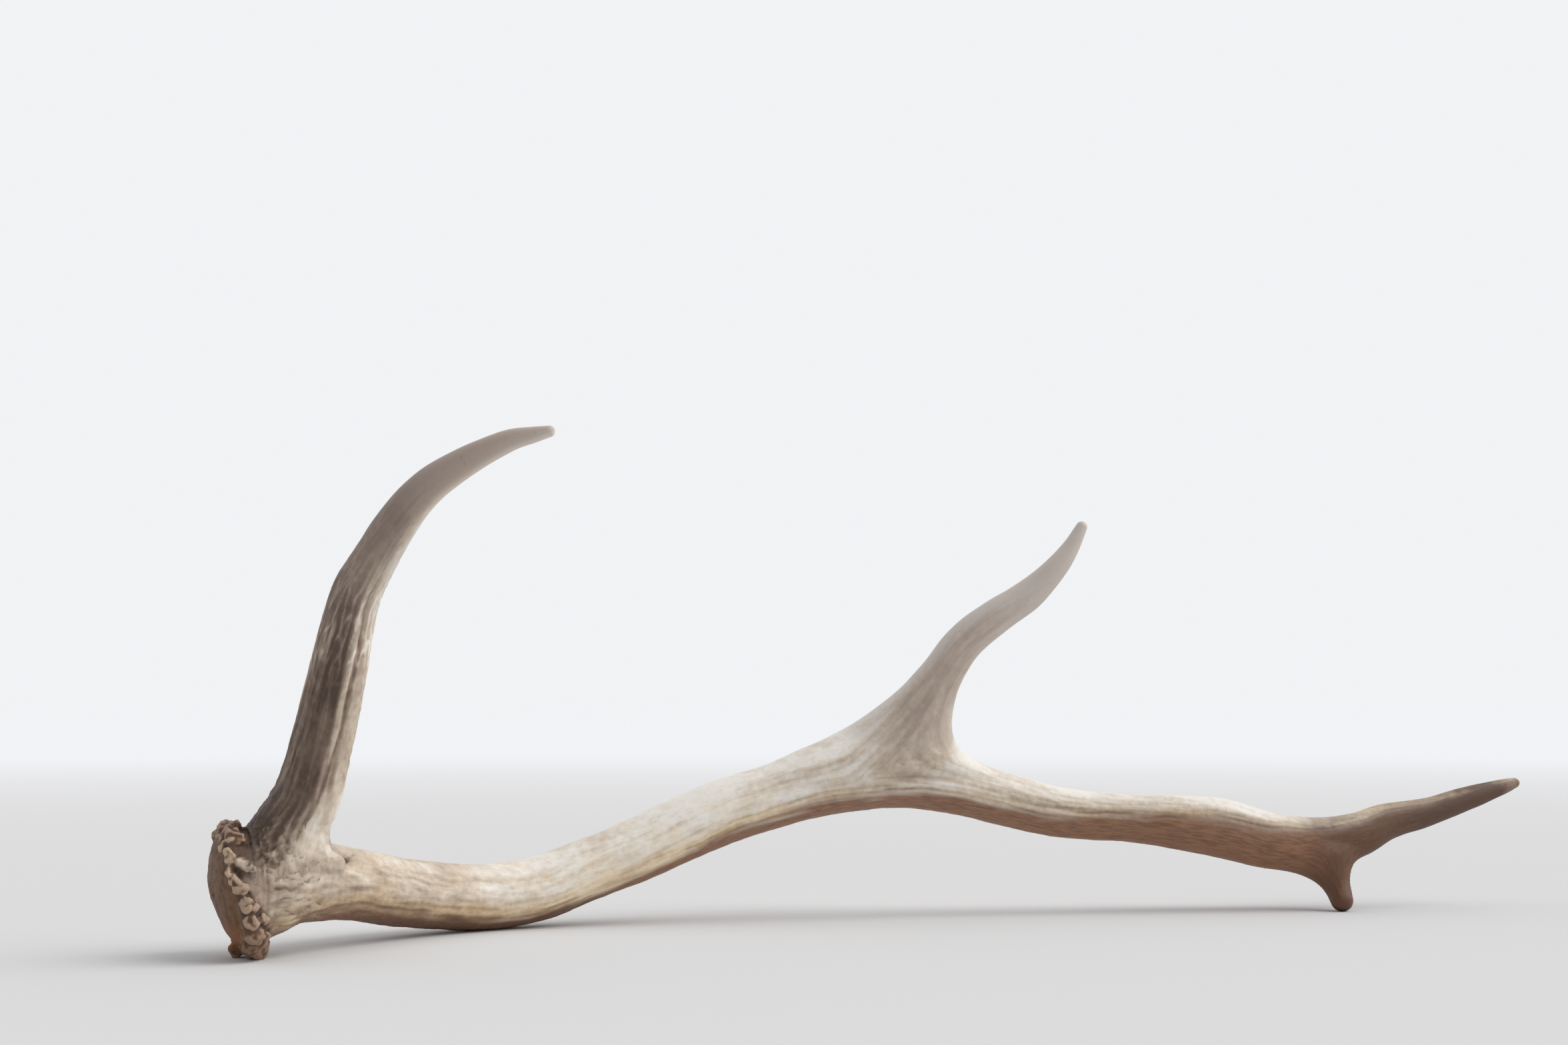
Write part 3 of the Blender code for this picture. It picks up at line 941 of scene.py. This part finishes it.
def relief(survey, pits):
    """How far each point stands out of the smooth skin."""
    height = sum(survey.share[name] * texture(survey, name) for name in BRANCHES)
    height += survey.share["brow_tine"] * brow_forms(survey)
    height += 0.22 * noise(survey.points, 13.0, 91) - 0.55 * pits - long_grooves(survey)
    plain = 1 - np.maximum(survey.seal, survey.coronet)
    height = plain * (height + root_relief(survey))
    height += survey.seal * seal_relief(survey) + survey.coronet * coronet_relief(survey)
    return height - marks(survey)


# ---- what the colours follow

# How pale each branch is, from 0 to 1. The beam: along X, in front and on top.
TONE_PLACES = (-310, -290, -262, -200, -150, -95, -40, 0, 40, 110, 160, 200, 250, 290, 312)
FRONT_TONES = (
    0.36, 0.65, 0.65, 0.75, 1.0, 1.02, 0.87, 0.92, 0.79, 0.6, 0.46, 0.16, -0.03, -0.16, 0.48
)
TOP_TONES = (
    0.4, 0.5, 0.7, 0.79, 0.97, 1.06, 0.94, 0.96, 0.9, 0.96, 0.98, 0.74, 0.48, 0.4, 0.74
)
# A dark patch in front near the terminal tine's end, along X, and a greyer one in the second fork.
DARK_TIP = 298.0
FORK_SHADE = ((-4.0, 40.0, 71.0), (8.0, 38.0, 79.0))
# The brow tine: degrees round it, drawn straight like its ridge. Its dark front and pale right side
# are partly its own tones and partly painted shade and painted light.
BROW_TURNS = (
    -180, -140, -106, -92, -78, -66, -56, -46, -34, 0, 8, 16, 25, 34, 60, 100, 140, 180
)
BROW_TONES = (
    0.5, 0.6, 0.66, 0.5, 0.14, 0.14, 0.36, 0.1, 0.07, 0.1, 0.26, 0.66, 0.34, 0.62, 0.8, 0.82,
    0.62, 0.5,
)
# Where along it a pale net lies on it, and where its right side is a little darker.
NETTED = (60.0, 94.0, 118.0, 150.0)
SHADED = (24.0, 38.0, 72.0, 92.0)
# Its smooth end: how pale it is along it.
SMOOTH_PLACES = (95, 125, 148, 175, 195, 215, 228)
SMOOTH_TONES = (0.32, 0.3, 0.1, 0.36, 0.58, 0.88, 1.0)
# The tray tine: degrees round it. Its palest left edge is partly its own pale tone and partly
# painted reflected light.
TRAY_TURNS = (-180, -120, -80, -50, -20, 15, 45, 80, 120, 180)
TRAY_TONES = (0.6, 0.8, 1.0, 0.78, 0.54, 0.5, 0.61, 0.74, 0.74, 0.6)
# How much paler than that it is along it.
RISE_PLACES = (20, 45, 75, 110, 150)
TRAY_RISE = (0.26, 0.0, 0.12, 0.38, 0.58)
# The short tine's pale yellowish edge, painted light: the middle and the spread of it, in degrees
# round the tine.
INNER_EDGE = (95.0, 32.0)
# Pale lines of growth everywhere: strength, pitch, length and seed.
TONE_LINES = ((0.14, 2.8, 30.0, 101), (0.1, 1.5, 16.0, 102))


def beam_tone(survey):
    """How pale the beam is."""
    x = survey.x
    front = np.interp(x, TONE_PLACES, FRONT_TONES)
    top = np.interp(x, TONE_PLACES, TOP_TONES)
    tone = front + ramp(survey.lift, 12.0, 55.0) * (top - front)
    tone -= 0.42 * band(x, DARK_TIP, 8.0) * ramp(survey.lift, 60.0, 42.0)
    return tone - 0.24 * ramp(gap_to_line(survey.points, *FORK_SHADE), 19.0, 5.0)


def brow_tone(survey):
    """How pale the brow tine is: dark in front, with a pale ridge and a cream right side, partly as
    painted shade in front and painted light on the right, and a painted lit edge on the right of
    its smooth end.
    """
    along = survey.along["brow_tine"]
    place = survey.rolled["brow_tine"]
    turn = turn_from_ridge(survey) + 7.0 * flow_lines(survey, 2.4, 30.0, 111)
    banded = np.interp(turn, BROW_TURNS, BROW_TONES)
    net = ramp(np.abs(noise(warped(place, 0.6, 6.0, 113), (3.4, 3.4, 11.0), 112)), 0.26, 0.0)
    banded += 0.3 * net * between(along, *NETTED)
    banded += 0.2 * flow_lines(survey, 2.2, 40.0, 114) * ramp(turn, 40.0, 10.0)
    rooted = ramp(along, 60.0, 30.0)
    banded -= 0.26 * rooted * band(turn, ROOT_RIDGE, 7.0)
    banded += 0.3 * rooted * flow_lines(survey, 1.9, 24.0, 115) * ramp(turn, -20.0, 10.0)
    banded -= 0.17 * between(along, *SHADED) * ramp(turn, 18.0, 40.0)
    smooth_end = np.interp(along, SMOOTH_PLACES, SMOOTH_TONES)
    # Painted light on the right side of the smooth end.
    lit_edge = 0.76 * band(survey.turn["brow_tine"], 78.0, 46.0)
    return banded + ramp(along, 100.0, 136.0) * (smooth_end + lit_edge - banded)


def tray_tone(survey):
    """How pale the tray tine is: brown-grey in front, pale on both edges, the left one partly as
    painted reflected light.
    """
    turn = survey.turn["tray_tine"] + 10.0 * flow_lines(survey, 2.6, 30.0, 121)
    banded = np.interp(turn, TRAY_TURNS, TRAY_TONES)
    return banded + np.interp(survey.along["tray_tine"], RISE_PLACES, TRAY_RISE)


def inner_tone(survey):
    """How pale the short tine is: dark, with painted shade where it touches down and a yellowish
    edge of painted light.
    """
    edge = band(survey.turn["inner_tine"], *INNER_EDGE) * ramp(survey.z, 22.0, 12.0)
    return 0.04 + 0.75 * edge - 0.2 * ramp(survey.z, 6.0, 1.0)


# How ochre the beam is, along X.
WARM_PLACES = (-310, -280, -240, -150, -110, -20, 60, 160)
BEAM_WARMTH = (0.1, 0.2, 0.26, 0.34, 0.32, 0.14, 0.05, 0.12)


def warmth(survey):
    """Where the bone is ochre, above 0, or greyish, below 0. On the brow tine's lit side it also
    carries painted light, and on the short tine's edge a yellow of painted light.
    """
    x = survey.x
    share = survey.share
    patches = layered_noise(survey.points, (24.0, 24.0, 12.0), 131, 2)
    patches += 0.5 * layered_noise(survey.points, 5.0, 133, 2)
    low = ramp(survey.lift, 72.0, 10.0)
    beam = np.interp(x, WARM_PLACES, BEAM_WARMTH) * (0.1 + 0.9 * low)
    ridge = band(survey.lift - brown_edge(survey), 13.0, 7.0)
    beside = ramp(survey.lift, 5.0, -30.0) * ramp(x, 0.0, -120.0)
    patches *= 0.55 * (0.3 + 0.7 * low)
    warm = share["beam"] * (beam + patches + 0.5 * ridge + 0.55 * beside)
    along = survey.along["brow_tine"]
    cream = band(survey.turn["brow_tine"], 70.0, 36.0) * ramp(along, 120.0, 70.0)
    # The lit side of the brow tine's end: painted light, which picks the lit ivory.
    lit = band(survey.turn["brow_tine"], 85.0, 45.0) * ramp(along, 130.0, 165.0)
    grey = ramp(along, 60.0, 150.0) * (1 - lit)
    warm += share["brow_tine"] * (0.04 * cream + 0.6 * lit - 0.75 * grey * (1 - cream))
    warm -= 0.9 * share["tray_tine"] + 0.3 * share["beam"] * band(x, 5.0, 40.0)
    # The short tine's yellowish edge is painted light.
    yellow = band(survey.turn["inner_tine"], *INNER_EDGE)
    return warm + share["inner_tine"] * yellow - 0.2 * root_zone(survey)


def grime_and_shade_of(survey, skin, height, pits):
    """How dark each hollow is, from dirt and painted shade, and below 0 how pale a crest is, from
    wear and painted highlight.
    """
    hollow = skin.smoothed(height, 12) - height
    crevice = ((skin.smoothed(skin.points, 30) - skin.points) * survey.normals).sum(1) + 0.2
    grime_and_shade = (1.4 - 0.4 * survey.coronet) * hollow + survey.coronet * crevice + 0.3 * pits
    grime_and_shade += 0.08 * root_pits(survey) + 0.16 * marks(survey)
    # Painted shade where the short tine touches down.
    grime_and_shade += survey.share["inner_tine"] * ramp(survey.z, 3.5, 0.5)
    return np.clip(grime_and_shade, -1.0, 1.0)


def tone_of(survey, brow_end):
    """How pale the bone is, with its lines of growth and its mottling."""
    share = survey.share
    tone = share["beam"] * beam_tone(survey) + share["brow_tine"] * brow_tone(survey)
    tone += share["tray_tine"] * tray_tone(survey) + share["inner_tine"] * inner_tone(survey)
    mottling = 0.11 * layered_noise(slanted(survey.points, 1.2, 5.0, 106), 3.2, 103)
    pattern = added_lines(survey, TONE_LINES) + mottling
    tone += (1 - 0.8 * brow_end) * pattern - 0.7 * long_grooves(survey)
    rooted = root_zone(survey)
    raised = ramp(survey.z, 26.0, 46.0)
    tone -= 0.36 * rooted * raised * ramp(survey.behind_ring, 24.0, 4.0)
    tone += 0.26 * rooted * flow_lines(survey, *FANNED_LINES)
    return np.clip(tone + 0.5 * survey.white_pearl, -0.2, 1.0)


def brown_of(survey):
    """Where the bone is brown from below, partly its own brown and partly painted shade of its
    underside, which fades towards the beam's far end.
    """
    edge = brown_edge(survey) + 9.0 * flow_lines(survey, 2.4, 26.0, 104)
    brown = ramp(survey.lift, edge + 13.0, edge - 13.0) * (1 - survey.coronet)
    return brown * (1 - 0.55 * survey.share["beam"] * ramp(survey.x, 215.0, 260.0))


def low_of(survey):
    """Where the brown is darkest: near the floor, where it is painted shade, at the beam's far end
    and on some pearls.
    """
    low = np.maximum(ramp(survey.z, 26.0, 3.0), 0.9 * ramp(survey.x, 172.0, 208.0))
    pearly = np.maximum(0.45 * survey.brown_pearls, 0.5 * ramp(survey.z, 42.0, 50.0))
    return np.maximum(low, survey.coronet * pearly)


def colour_guides(survey, skin, height, pits):
    """What the material reads at each point."""
    along = survey.along["brow_tine"]
    brow_end = survey.share["brow_tine"] * ramp(along, 142.0, 175.0)
    tray_end = survey.share["tray_tine"] * 0.6 * ramp(survey.along["tray_tine"], 30.0, 100.0)
    ivory = brow_end * ramp(along, 232.0, 205.0) + tray_end
    return {
        "tone": tone_of(survey, brow_end),
        "brown": brown_of(survey),
        "warm": np.clip(warmth(survey), -1.0, 1.0),
        "ivory": np.clip(ivory, 0.0, 1.0),
        "grime_and_shade": grime_and_shade_of(survey, skin, height, pits),
        "seal": survey.seal,
        "coronet": survey.coronet,
        "low": low_of(survey),
        "flow": survey.flow,
    }


# ---- the pieces

# Where the beam's skin parts, along X.
ROOT_END = -262.0
MIDDLE_END = -20.0
EVERYWHERE = (-math.inf, math.inf)
# Each piece: the CAD node that it stands for, the material slot, and its range along X.
PIECES = {
    "burr_and_root": ("main_beam", "antler_beam", (-math.inf, ROOT_END)),
    "beam_middle": ("main_beam", "antler_beam", (ROOT_END, MIDDLE_END)),
    "beam_end": ("main_beam", "antler_beam", (MIDDLE_END, math.inf)),
    "brow_tine_skin": ("brow_tine", "antler_tine", EVERYWHERE),
    "tray_tine_skin": ("tray_tine", "antler_tine", EVERYWHERE),
    "inner_tine_skin": ("inner_tine", "antler_tip", EVERYWHERE),
}


def face_owners(survey, faces):
    """The CAD node that each face stands for."""
    middle = survey.points[faces].mean(1)
    owner = np.full(len(faces), "main_beam", dtype=object)
    beam = survey.distance["beam"][faces].mean(1)
    for name, (point, direction) in CUTS.items():
        height = (middle - point) @ unit(direction)
        nearer = survey.distance[name][faces].mean(1) < beam
        owner[(height > 0) & (height < TINE_REACH[name]) & nearer] = name
    return owner


def split_quads(faces):
    """Two triangles for each quad."""
    return np.vstack((faces[:, (0, 1, 2)], faces[:, (0, 2, 3)]))


def open_loops(triangles):
    """The open edges of a surface, in order round each opening."""
    edges = {}
    for first, second in ((0, 1), (1, 2), (2, 0)):
        for pair in zip(triangles[:, first].tolist(), triangles[:, second].tolist()):
            edges[pair] = True
    following = {}
    for one, other in edges:
        if (other, one) not in edges:
            following.setdefault(one, []).append(other)
    loops = []
    while following:
        start = next(iter(following))
        loop = [start]
        while True:
            options = following[loop[-1]]
            ahead = options.pop()
            if not options:
                del following[loop[-1]]
            if ahead == start:
                break
            loop.append(ahead)
        loops.append(loop)
    return loops


def close_openings(points, triangles):
    """The surface with a fan of triangles across each opening."""
    points = list(points)
    caps = []
    for loop in open_loops(triangles):
        points.append(np.mean([points[index] for index in loop], axis=0))
        centre = len(points) - 1
        for one, other in zip(loop, loop[1:] + loop[:1]):
            caps.append((other, one, centre))
    if caps:
        triangles = np.vstack((triangles, caps))
    return np.array(points), triangles


def add_guide(mesh, name, values):
    """One number or one vector for each point of a mesh, which its material reads."""
    kind, field = ("FLOAT", "value") if values.ndim == 1 else ("FLOAT_VECTOR", "vector")
    attribute = mesh.attributes.new(name, kind, "POINT")
    attribute.data.foreach_set(field, values.astype(np.float32).ravel())


def padded(values, length):
    """Values with zeros after them up to this length."""
    extra = np.zeros((length - len(values),) + values.shape[1:])
    return np.concatenate((values, extra))


def add_piece(name, skin, chosen, normals, guides, material):
    """One closed piece of the skin from the chosen faces."""
    used, triangles = np.unique(split_quads(skin.faces[chosen]), return_inverse=True)
    triangles = triangles.reshape(-1, 3)
    points, triangles = close_openings(skin.points[used], triangles)
    mesh = make_mesh(name, points, triangles)
    for guide, values in guides.items():
        add_guide(mesh, guide, padded(values[used], len(points)))
    mesh.shade_smooth()
    own_normals = padded(normals[used], len(points))
    own_normals[len(used):] = UP
    mesh.normals_split_custom_set_from_vertices(own_normals)
    mesh.materials.append(material)
    return add_object(name, mesh)


def build_antler():
    """The dressed antler, one piece for each stretch of it."""
    points, faces = fine_skin()
    skin = Skin(points, faces)
    survey = Survey(skin)
    pits = np.maximum(0.6 * dashes(survey), root_pits(survey))
    height = relief(survey, pits)
    skin.points = skin.points + height[:, None] * survey.normals
    skin.points[:, 2] = np.maximum(skin.points[:, 2], 0.0)
    low, high = (np.array(corner) / MM for corner in cad_bounds)
    skin.points = np.clip(skin.points, low, high)
    guides = colour_guides(survey, skin, height, pits)
    normals = skin.normals()
    owner = face_owners(survey, faces)
    across = survey.x[faces].mean(1)
    material = bone_material("antler_bone")
    for name, (node, slot, (start, end)) in PIECES.items():
        chosen = (owner == node) & (across >= start) & (across < end)
        piece = add_piece(name, skin, chosen, normals, guides, material)
        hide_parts(node)
        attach(piece, "root")


# ---- the material


def srgb(red, green, blue):
    """A linear colour from the usual 0 to 255 numbers."""
    values = [value / 255 for value in (red, green, blue)]
    linear = [v / 12.92 if v <= 0.04045 else ((v + 0.055) / 1.055) ** 2.4 for v in values]
    return (*linear, 1.0)


# The bone from its darkest to its palest tone.
BONE_TONES = (
    (0.0, srgb(76, 60, 49)),
    (0.25, srgb(117, 98, 84)),
    (0.5, srgb(162, 145, 128)),
    (0.75, srgb(206, 191, 172)),
    (1.0, srgb(235, 230, 221)),
)
# What ochre bone keeps of each colour.
OCHRE_TINT = (1.0, 0.88, 0.7, 1.0)
GREYISH = srgb(172, 157, 148)
# The underside's browns: the bone's own brown, darkened in part as painted shade, and darkest near
# the floor as painted shade.
UNDERSIDE = srgb(152, 109, 81)
UNDERSIDE_STREAK = srgb(114, 81, 59)
UNDERSIDE_LOW = srgb(79, 50, 33)
# The ivory ends: a copy darkened as painted shade, and a paler copy as painted light on their lit
# side.
SHADED_IVORY = srgb(172, 156, 146)
LIT_IVORY = srgb(198, 172, 156)
# The pearls: paler crests and browner sides, partly their own colours and partly painted highlight
# and painted shade; the low ones darken towards the floor, partly as painted shade.
PEARL_CREST = srgb(194, 168, 143)
PEARL_SIDE = srgb(98, 71, 52)
PEARL_LOW = srgb(96, 61, 39)
# The seal's own tan and brown, darkened in part as painted shade of its side that faces away from
# the light.
SEAL_TAN = srgb(114, 83, 54)
SEAL_BROWN = srgb(88, 61, 39)
SEAL_PATCH = srgb(148, 98, 57)
# Hollows darkened by dirt and painted shade, and crests paled by wear and painted highlight.
GRIME_AND_SHADE = srgb(84, 62, 46)
DEEP_GRIME_AND_SHADE = srgb(52, 39, 30)
WORN_AND_HIGHLIGHT = srgb(226, 214, 196)
SPECK = srgb(118, 90, 66)
# The depth of the finest grain, in metres.
BUMP_DEPTH = 0.0004
BONE_SPECULAR = 0.4


class Nodes:
    """Short ways to add shader nodes to a material or to the world."""

    def __init__(self, owner, shader="Principled BSDF"):
        owner.use_nodes = True
        self.tree = owner.node_tree
        self.shader = self.tree.nodes[shader]

    def add(self, kind, inputs=None, **settings):
        """A node with its settings, and its inputs set or linked."""
        node = self.tree.nodes.new(kind)
        for name, value in settings.items():
            setattr(node, name, value)
        self.feed_all(node, inputs or {})
        return node

    def feed_all(self, node, inputs):
        """Set each of a node's inputs, or link another socket to it."""
        for name, value in inputs.items():
            if isinstance(value, bpy.types.NodeSocket):
                self.tree.links.new(value, node.inputs[name])
            else:
                node.inputs[name].default_value = value

    def attribute(self, name):
        """One of the skin's guides."""
        return self.add("ShaderNodeAttribute", attribute_name=name)

    def sum(self, *terms):
        """Terms added up, each a (value, factor) pair."""
        total = 0.0
        for value, factor in terms:
            inputs = {0: value, 1: factor, 2: total}
            total = self.add("ShaderNodeMath", inputs, operation="MULTIPLY_ADD").outputs[0]
        return total

    def ramp(self, value, stops):
        """A colour ramp through (position, colour) stops."""
        node = self.add("ShaderNodeValToRGB", {"Fac": value})
        elements = node.color_ramp.elements
        while len(elements) < len(stops):
            elements.new(1.0)
        for element, (position, colour) in zip(elements, stops):
            element.position = position
            element.color = colour
        return node.outputs["Color"]

    def grade(self, value, low, high, end=1.0):
        """A value taken smoothly from 0 at low to an end value at high."""
        inputs = {"Value": value, "From Min": low, "From Max": high, "To Max": end}
        node = self.add("ShaderNodeMapRange", inputs, interpolation_type="SMOOTHSTEP")
        return node.outputs["Result"]

    def mix(self, share, one, other, blend="MIX"):
        """Two colours mixed, or blended in another way."""
        node = self.add("ShaderNodeMix", data_type="RGBA", blend_type=blend)
        self.feed_all(node, {"Factor": share, "A": one, "B": other})
        return node.outputs["Result"]

    def noise(self, place, scale, detail=3.0):
        """Noise at a place."""
        inputs = {"Vector": place, "Scale": scale, "Detail": detail, "Roughness": 0.55}
        return self.add("ShaderNodeTexNoise", inputs).outputs["Fac"]

    def stretched(self, place, factors):
        """A place scaled by a factor along each axis."""
        inputs = {"Vector": place, "Scale": factors}
        return self.add("ShaderNodeMapping", inputs).outputs["Vector"]


def bone_colour(nodes, guide, fibre, mottle):
    """The bone's own colour, before dirt and wear."""
    streak = nodes.noise(nodes.stretched(guide["flow"], (1.0, 0.09, 0.09)), 0.55, 4.0)
    cloud = nodes.noise(guide["spot"], 70.0, 3.0)
    pattern = nodes.sum(
        (streak, 0.34), (fibre, 0.16), (mottle, 0.22), (cloud, 0.1), (1.0, -0.41)
    )
    plainness = nodes.sum((guide["ivory"], -0.8), (1.0, 1.0))
    tone = nodes.sum((pattern, plainness), (guide["tone"], 1.0))
    colour = nodes.ramp(tone, BONE_TONES)
    ochre = nodes.mix(nodes.grade(guide["warm"], 0.0, 1.0), colour, OCHRE_TINT, "MULTIPLY")
    colour = nodes.mix(nodes.grade(guide["warm"], 0.0, -1.0, 0.45), ochre, GREYISH)
    # The brown underside, partly painted shade, and darkest near the floor as painted shade.
    under = nodes.mix(nodes.grade(fibre, 0.35, 0.68), UNDERSIDE, UNDERSIDE_STREAK)
    under = nodes.mix(nodes.grade(guide["low"], 0.2, 1.0, 0.7), under, UNDERSIDE_LOW)
    colour = nodes.mix(nodes.sum((guide["brown"], 0.95)), colour, under)
    # The ivory ends in painted shade, and in painted light on their lit side.
    ivory = nodes.mix(nodes.grade(guide["warm"], -0.2, 0.5), SHADED_IVORY, LIT_IVORY)
    colour = nodes.mix(nodes.sum((guide["ivory"], 0.55)), colour, ivory)
    specks = nodes.grade(nodes.noise(guide["spot"], 620.0, 2.0), 0.6, 0.72, 0.1)
    return nodes.mix(specks, colour, SPECK)


def add_burr_colours(nodes, guide, mottle, colour):
    """The pearls' brown sides and paler crests, partly their own colours and partly painted shade
    and painted highlight, and the tan seal with its rusty patch.
    """
    sunk = nodes.sum((guide["grime_and_shade"], 1.0), (mottle, 0.4), (1.0, -0.2))
    pearl = nodes.mix(nodes.grade(sunk, -0.3, 0.3), PEARL_CREST, PEARL_SIDE)
    pearl = nodes.mix(nodes.sum((guide["low"], 0.7)), pearl, PEARL_LOW)
    colour = nodes.mix(nodes.sum((guide["coronet"], 0.9)), colour, pearl)
    seal = nodes.mix(nodes.grade(mottle, 0.35, 0.66), SEAL_TAN, SEAL_BROWN)
    seal = nodes.mix(nodes.grade(guide["low"], 0.3, 0.9, 0.7), seal, SEAL_PATCH)
    return nodes.mix(guide["seal"], colour, seal)


def add_dirt_wear_and_painted_light(nodes, guide, colour):
    """Dirt and painted shade in the hollows, and pale crests, partly wear and partly painted
    highlight.
    """
    colour = nodes.mix(nodes.grade(guide["grime_and_shade"], 0.05, 0.7, 0.75), colour, GRIME_AND_SHADE)
    colour = nodes.mix(nodes.grade(guide["grime_and_shade"], 0.65, 1.0, 0.7), colour, DEEP_GRIME_AND_SHADE)
    crest = nodes.sum((guide["coronet"], 0.7), (guide["grime_and_shade"], 1.0))
    return nodes.mix(nodes.grade(crest, -0.1, -0.7, 0.4), colour, WORN_AND_HIGHLIGHT)


def bone_material(name):
    """Weathered antler: tones from the guides, fine streaks and mottling, hollows darkened by dirt
    and painted shade.
    """
    material = bpy.data.materials.new(name)
    nodes = Nodes(material)
    names = ("tone", "brown", "warm", "ivory", "grime_and_shade", "seal", "coronet", "low")
    guide = {name: nodes.attribute(name).outputs["Fac"] for name in names}
    guide["flow"] = nodes.attribute("flow").outputs["Vector"]
    guide["spot"] = nodes.add("ShaderNodeTexCoord").outputs["Object"]
    fibre = nodes.noise(nodes.stretched(guide["flow"], (1.0, 0.12, 0.12)), 1.7)
    mottle = nodes.noise(guide["spot"], 300.0, 4.0)
    grain = nodes.noise(guide["spot"], 1400.0)
    colour = bone_colour(nodes, guide, fibre, mottle)
    colour = add_burr_colours(nodes, guide, mottle, colour)
    colour = add_dirt_wear_and_painted_light(nodes, guide, colour)
    height = nodes.sum((fibre, 0.5), (grain, 0.3), (mottle, 0.5))
    strength = nodes.sum((guide["ivory"], -0.3), (1.0, 0.45))
    bump = {"Height": height, "Strength": strength, "Distance": BUMP_DEPTH}
    surface = {
        "Base Color": colour,
        "Roughness": nodes.sum((guide["ivory"], -0.14), (grain, 0.2), (1.0, 0.5)),
        "Normal": nodes.add("ShaderNodeBump", bump).outputs["Normal"],
        "Specular IOR Level": BONE_SPECULAR,
    }
    nodes.feed_all(nodes.shader, surface)
    return material


# ---- the stage

CAMERA_PLACE = (-430.8, -868.6, 94.6)
CAMERA_TURN = 22.0
CAMERA_RISE = 4.9508
LENS = 50.0
SENSOR = 36.0
# What is nearer or further than this isn't seen, in metres.
CAMERA_REACH = (0.01, 100.0)
FLOOR_SIZE = 60.0
# The paper is darker near the antler, a broad painted shade, and paler far away, where it meets the
# background.
SHADED_NEAR_FLOOR = (0.68, 0.675, 0.67, 1.0)
FAR_FLOOR = (0.83, 0.838, 0.855, 1.0)
NEAR_REACH = 0.5
FAR_REACH = 4.0
# A pale wall behind and a dimmer room in front, with the wall's brightness all round low down.
WALL_LIGHT = (0.88, 0.89, 0.91, 1.0)
ROOM_LIGHT = (0.3, 0.3, 0.31, 1.0)
WALL_FACES = (0.35, 0.9, 0.25)
# Where the wall's light gives way to the room's: away from the wall, and upwards.
WALL_EDGE = (0.35, -0.35)
WALL_HEIGHT = (0.1, 0.4)
SUN_FROM = (0.75, -0.42, 0.85)
SUN_COLOUR = (1.0, 0.992, 0.98)
SUN_STRENGTH = 1.7
SUN_SPREAD = 45.0


def add_camera():
    """The camera at the photograph's place."""
    camera = add_object("camera", bpy.data.cameras.new("camera"))
    camera.data.lens = LENS
    camera.data.sensor_width = SENSOR
    camera.data.clip_start, camera.data.clip_end = CAMERA_REACH
    aim = Euler((math.radians(90 + CAMERA_RISE), 0.0, -math.radians(CAMERA_TURN)))
    camera.matrix_world = Matrix.LocRotScale(Vector(CAMERA_PLACE) * MM, aim, None)
    bpy.context.scene.camera = camera


def add_sun():
    """A broad soft light from the upper right."""
    light = add_object("soft_light", bpy.data.lights.new("soft_light", "SUN"))
    light.data.energy = SUN_STRENGTH
    light.data.angle = math.radians(SUN_SPREAD)
    light.data.color = SUN_COLOUR
    light.rotation_euler = Vector(SUN_FROM).to_track_quat("Z", "Y").to_euler()


def add_floor():
    """A pale floor, darker near the antler as painted shade."""
    half = FLOOR_SIZE / 2 / MM
    corners = half * np.array(((-1, -1, 0), (1, -1, 0), (1, 1, 0), (-1, 1, 0)))
    mesh = make_mesh("floor", corners, np.array(((0, 1, 2, 3),)))
    material = bpy.data.materials.new("floor_paper")
    nodes = Nodes(material)
    spot = nodes.add("ShaderNodeTexCoord").outputs["Object"]
    reach = nodes.add("ShaderNodeVectorMath", {0: spot}, operation="LENGTH").outputs["Value"]
    paper = nodes.mix(nodes.grade(reach, NEAR_REACH, FAR_REACH), SHADED_NEAR_FLOOR, FAR_FLOOR)
    matte = {"Base Color": paper, "Roughness": 1.0, "Specular IOR Level": 0.0}
    nodes.feed_all(nodes.shader, matte)
    mesh.materials.append(material)
    add_object("floor", mesh)


def add_surroundings():
    """The light from all round: a pale wall behind, and a dimmer room in front and above."""
    world = bpy.data.worlds.new("studio")
    nodes = Nodes(world, "Background")
    spot = nodes.add("ShaderNodeTexCoord").outputs["Generated"]
    wall = {0: spot, 1: unit(WALL_FACES)}
    facing = nodes.add("ShaderNodeVectorMath", wall, operation="DOT_PRODUCT").outputs["Value"]
    upward = nodes.add("ShaderNodeSeparateXYZ", {0: spot}).outputs["Z"]
    shares = {0: nodes.grade(facing, *WALL_EDGE), 1: nodes.grade(upward, *WALL_HEIGHT)}
    room = nodes.add("ShaderNodeMath", shares, operation="MULTIPLY").outputs[0]
    nodes.feed_all(nodes.shader, {"Color": nodes.mix(room, WALL_LIGHT, ROOM_LIGHT)})
    bpy.context.scene.world = world


def add_stage():
    """Camera, light, floor and surroundings."""
    add_camera()
    add_floor()
    add_sun()
    add_surroundings()
    bpy.context.scene.view_settings.view_transform = "Standard"


build_antler()
add_stage()
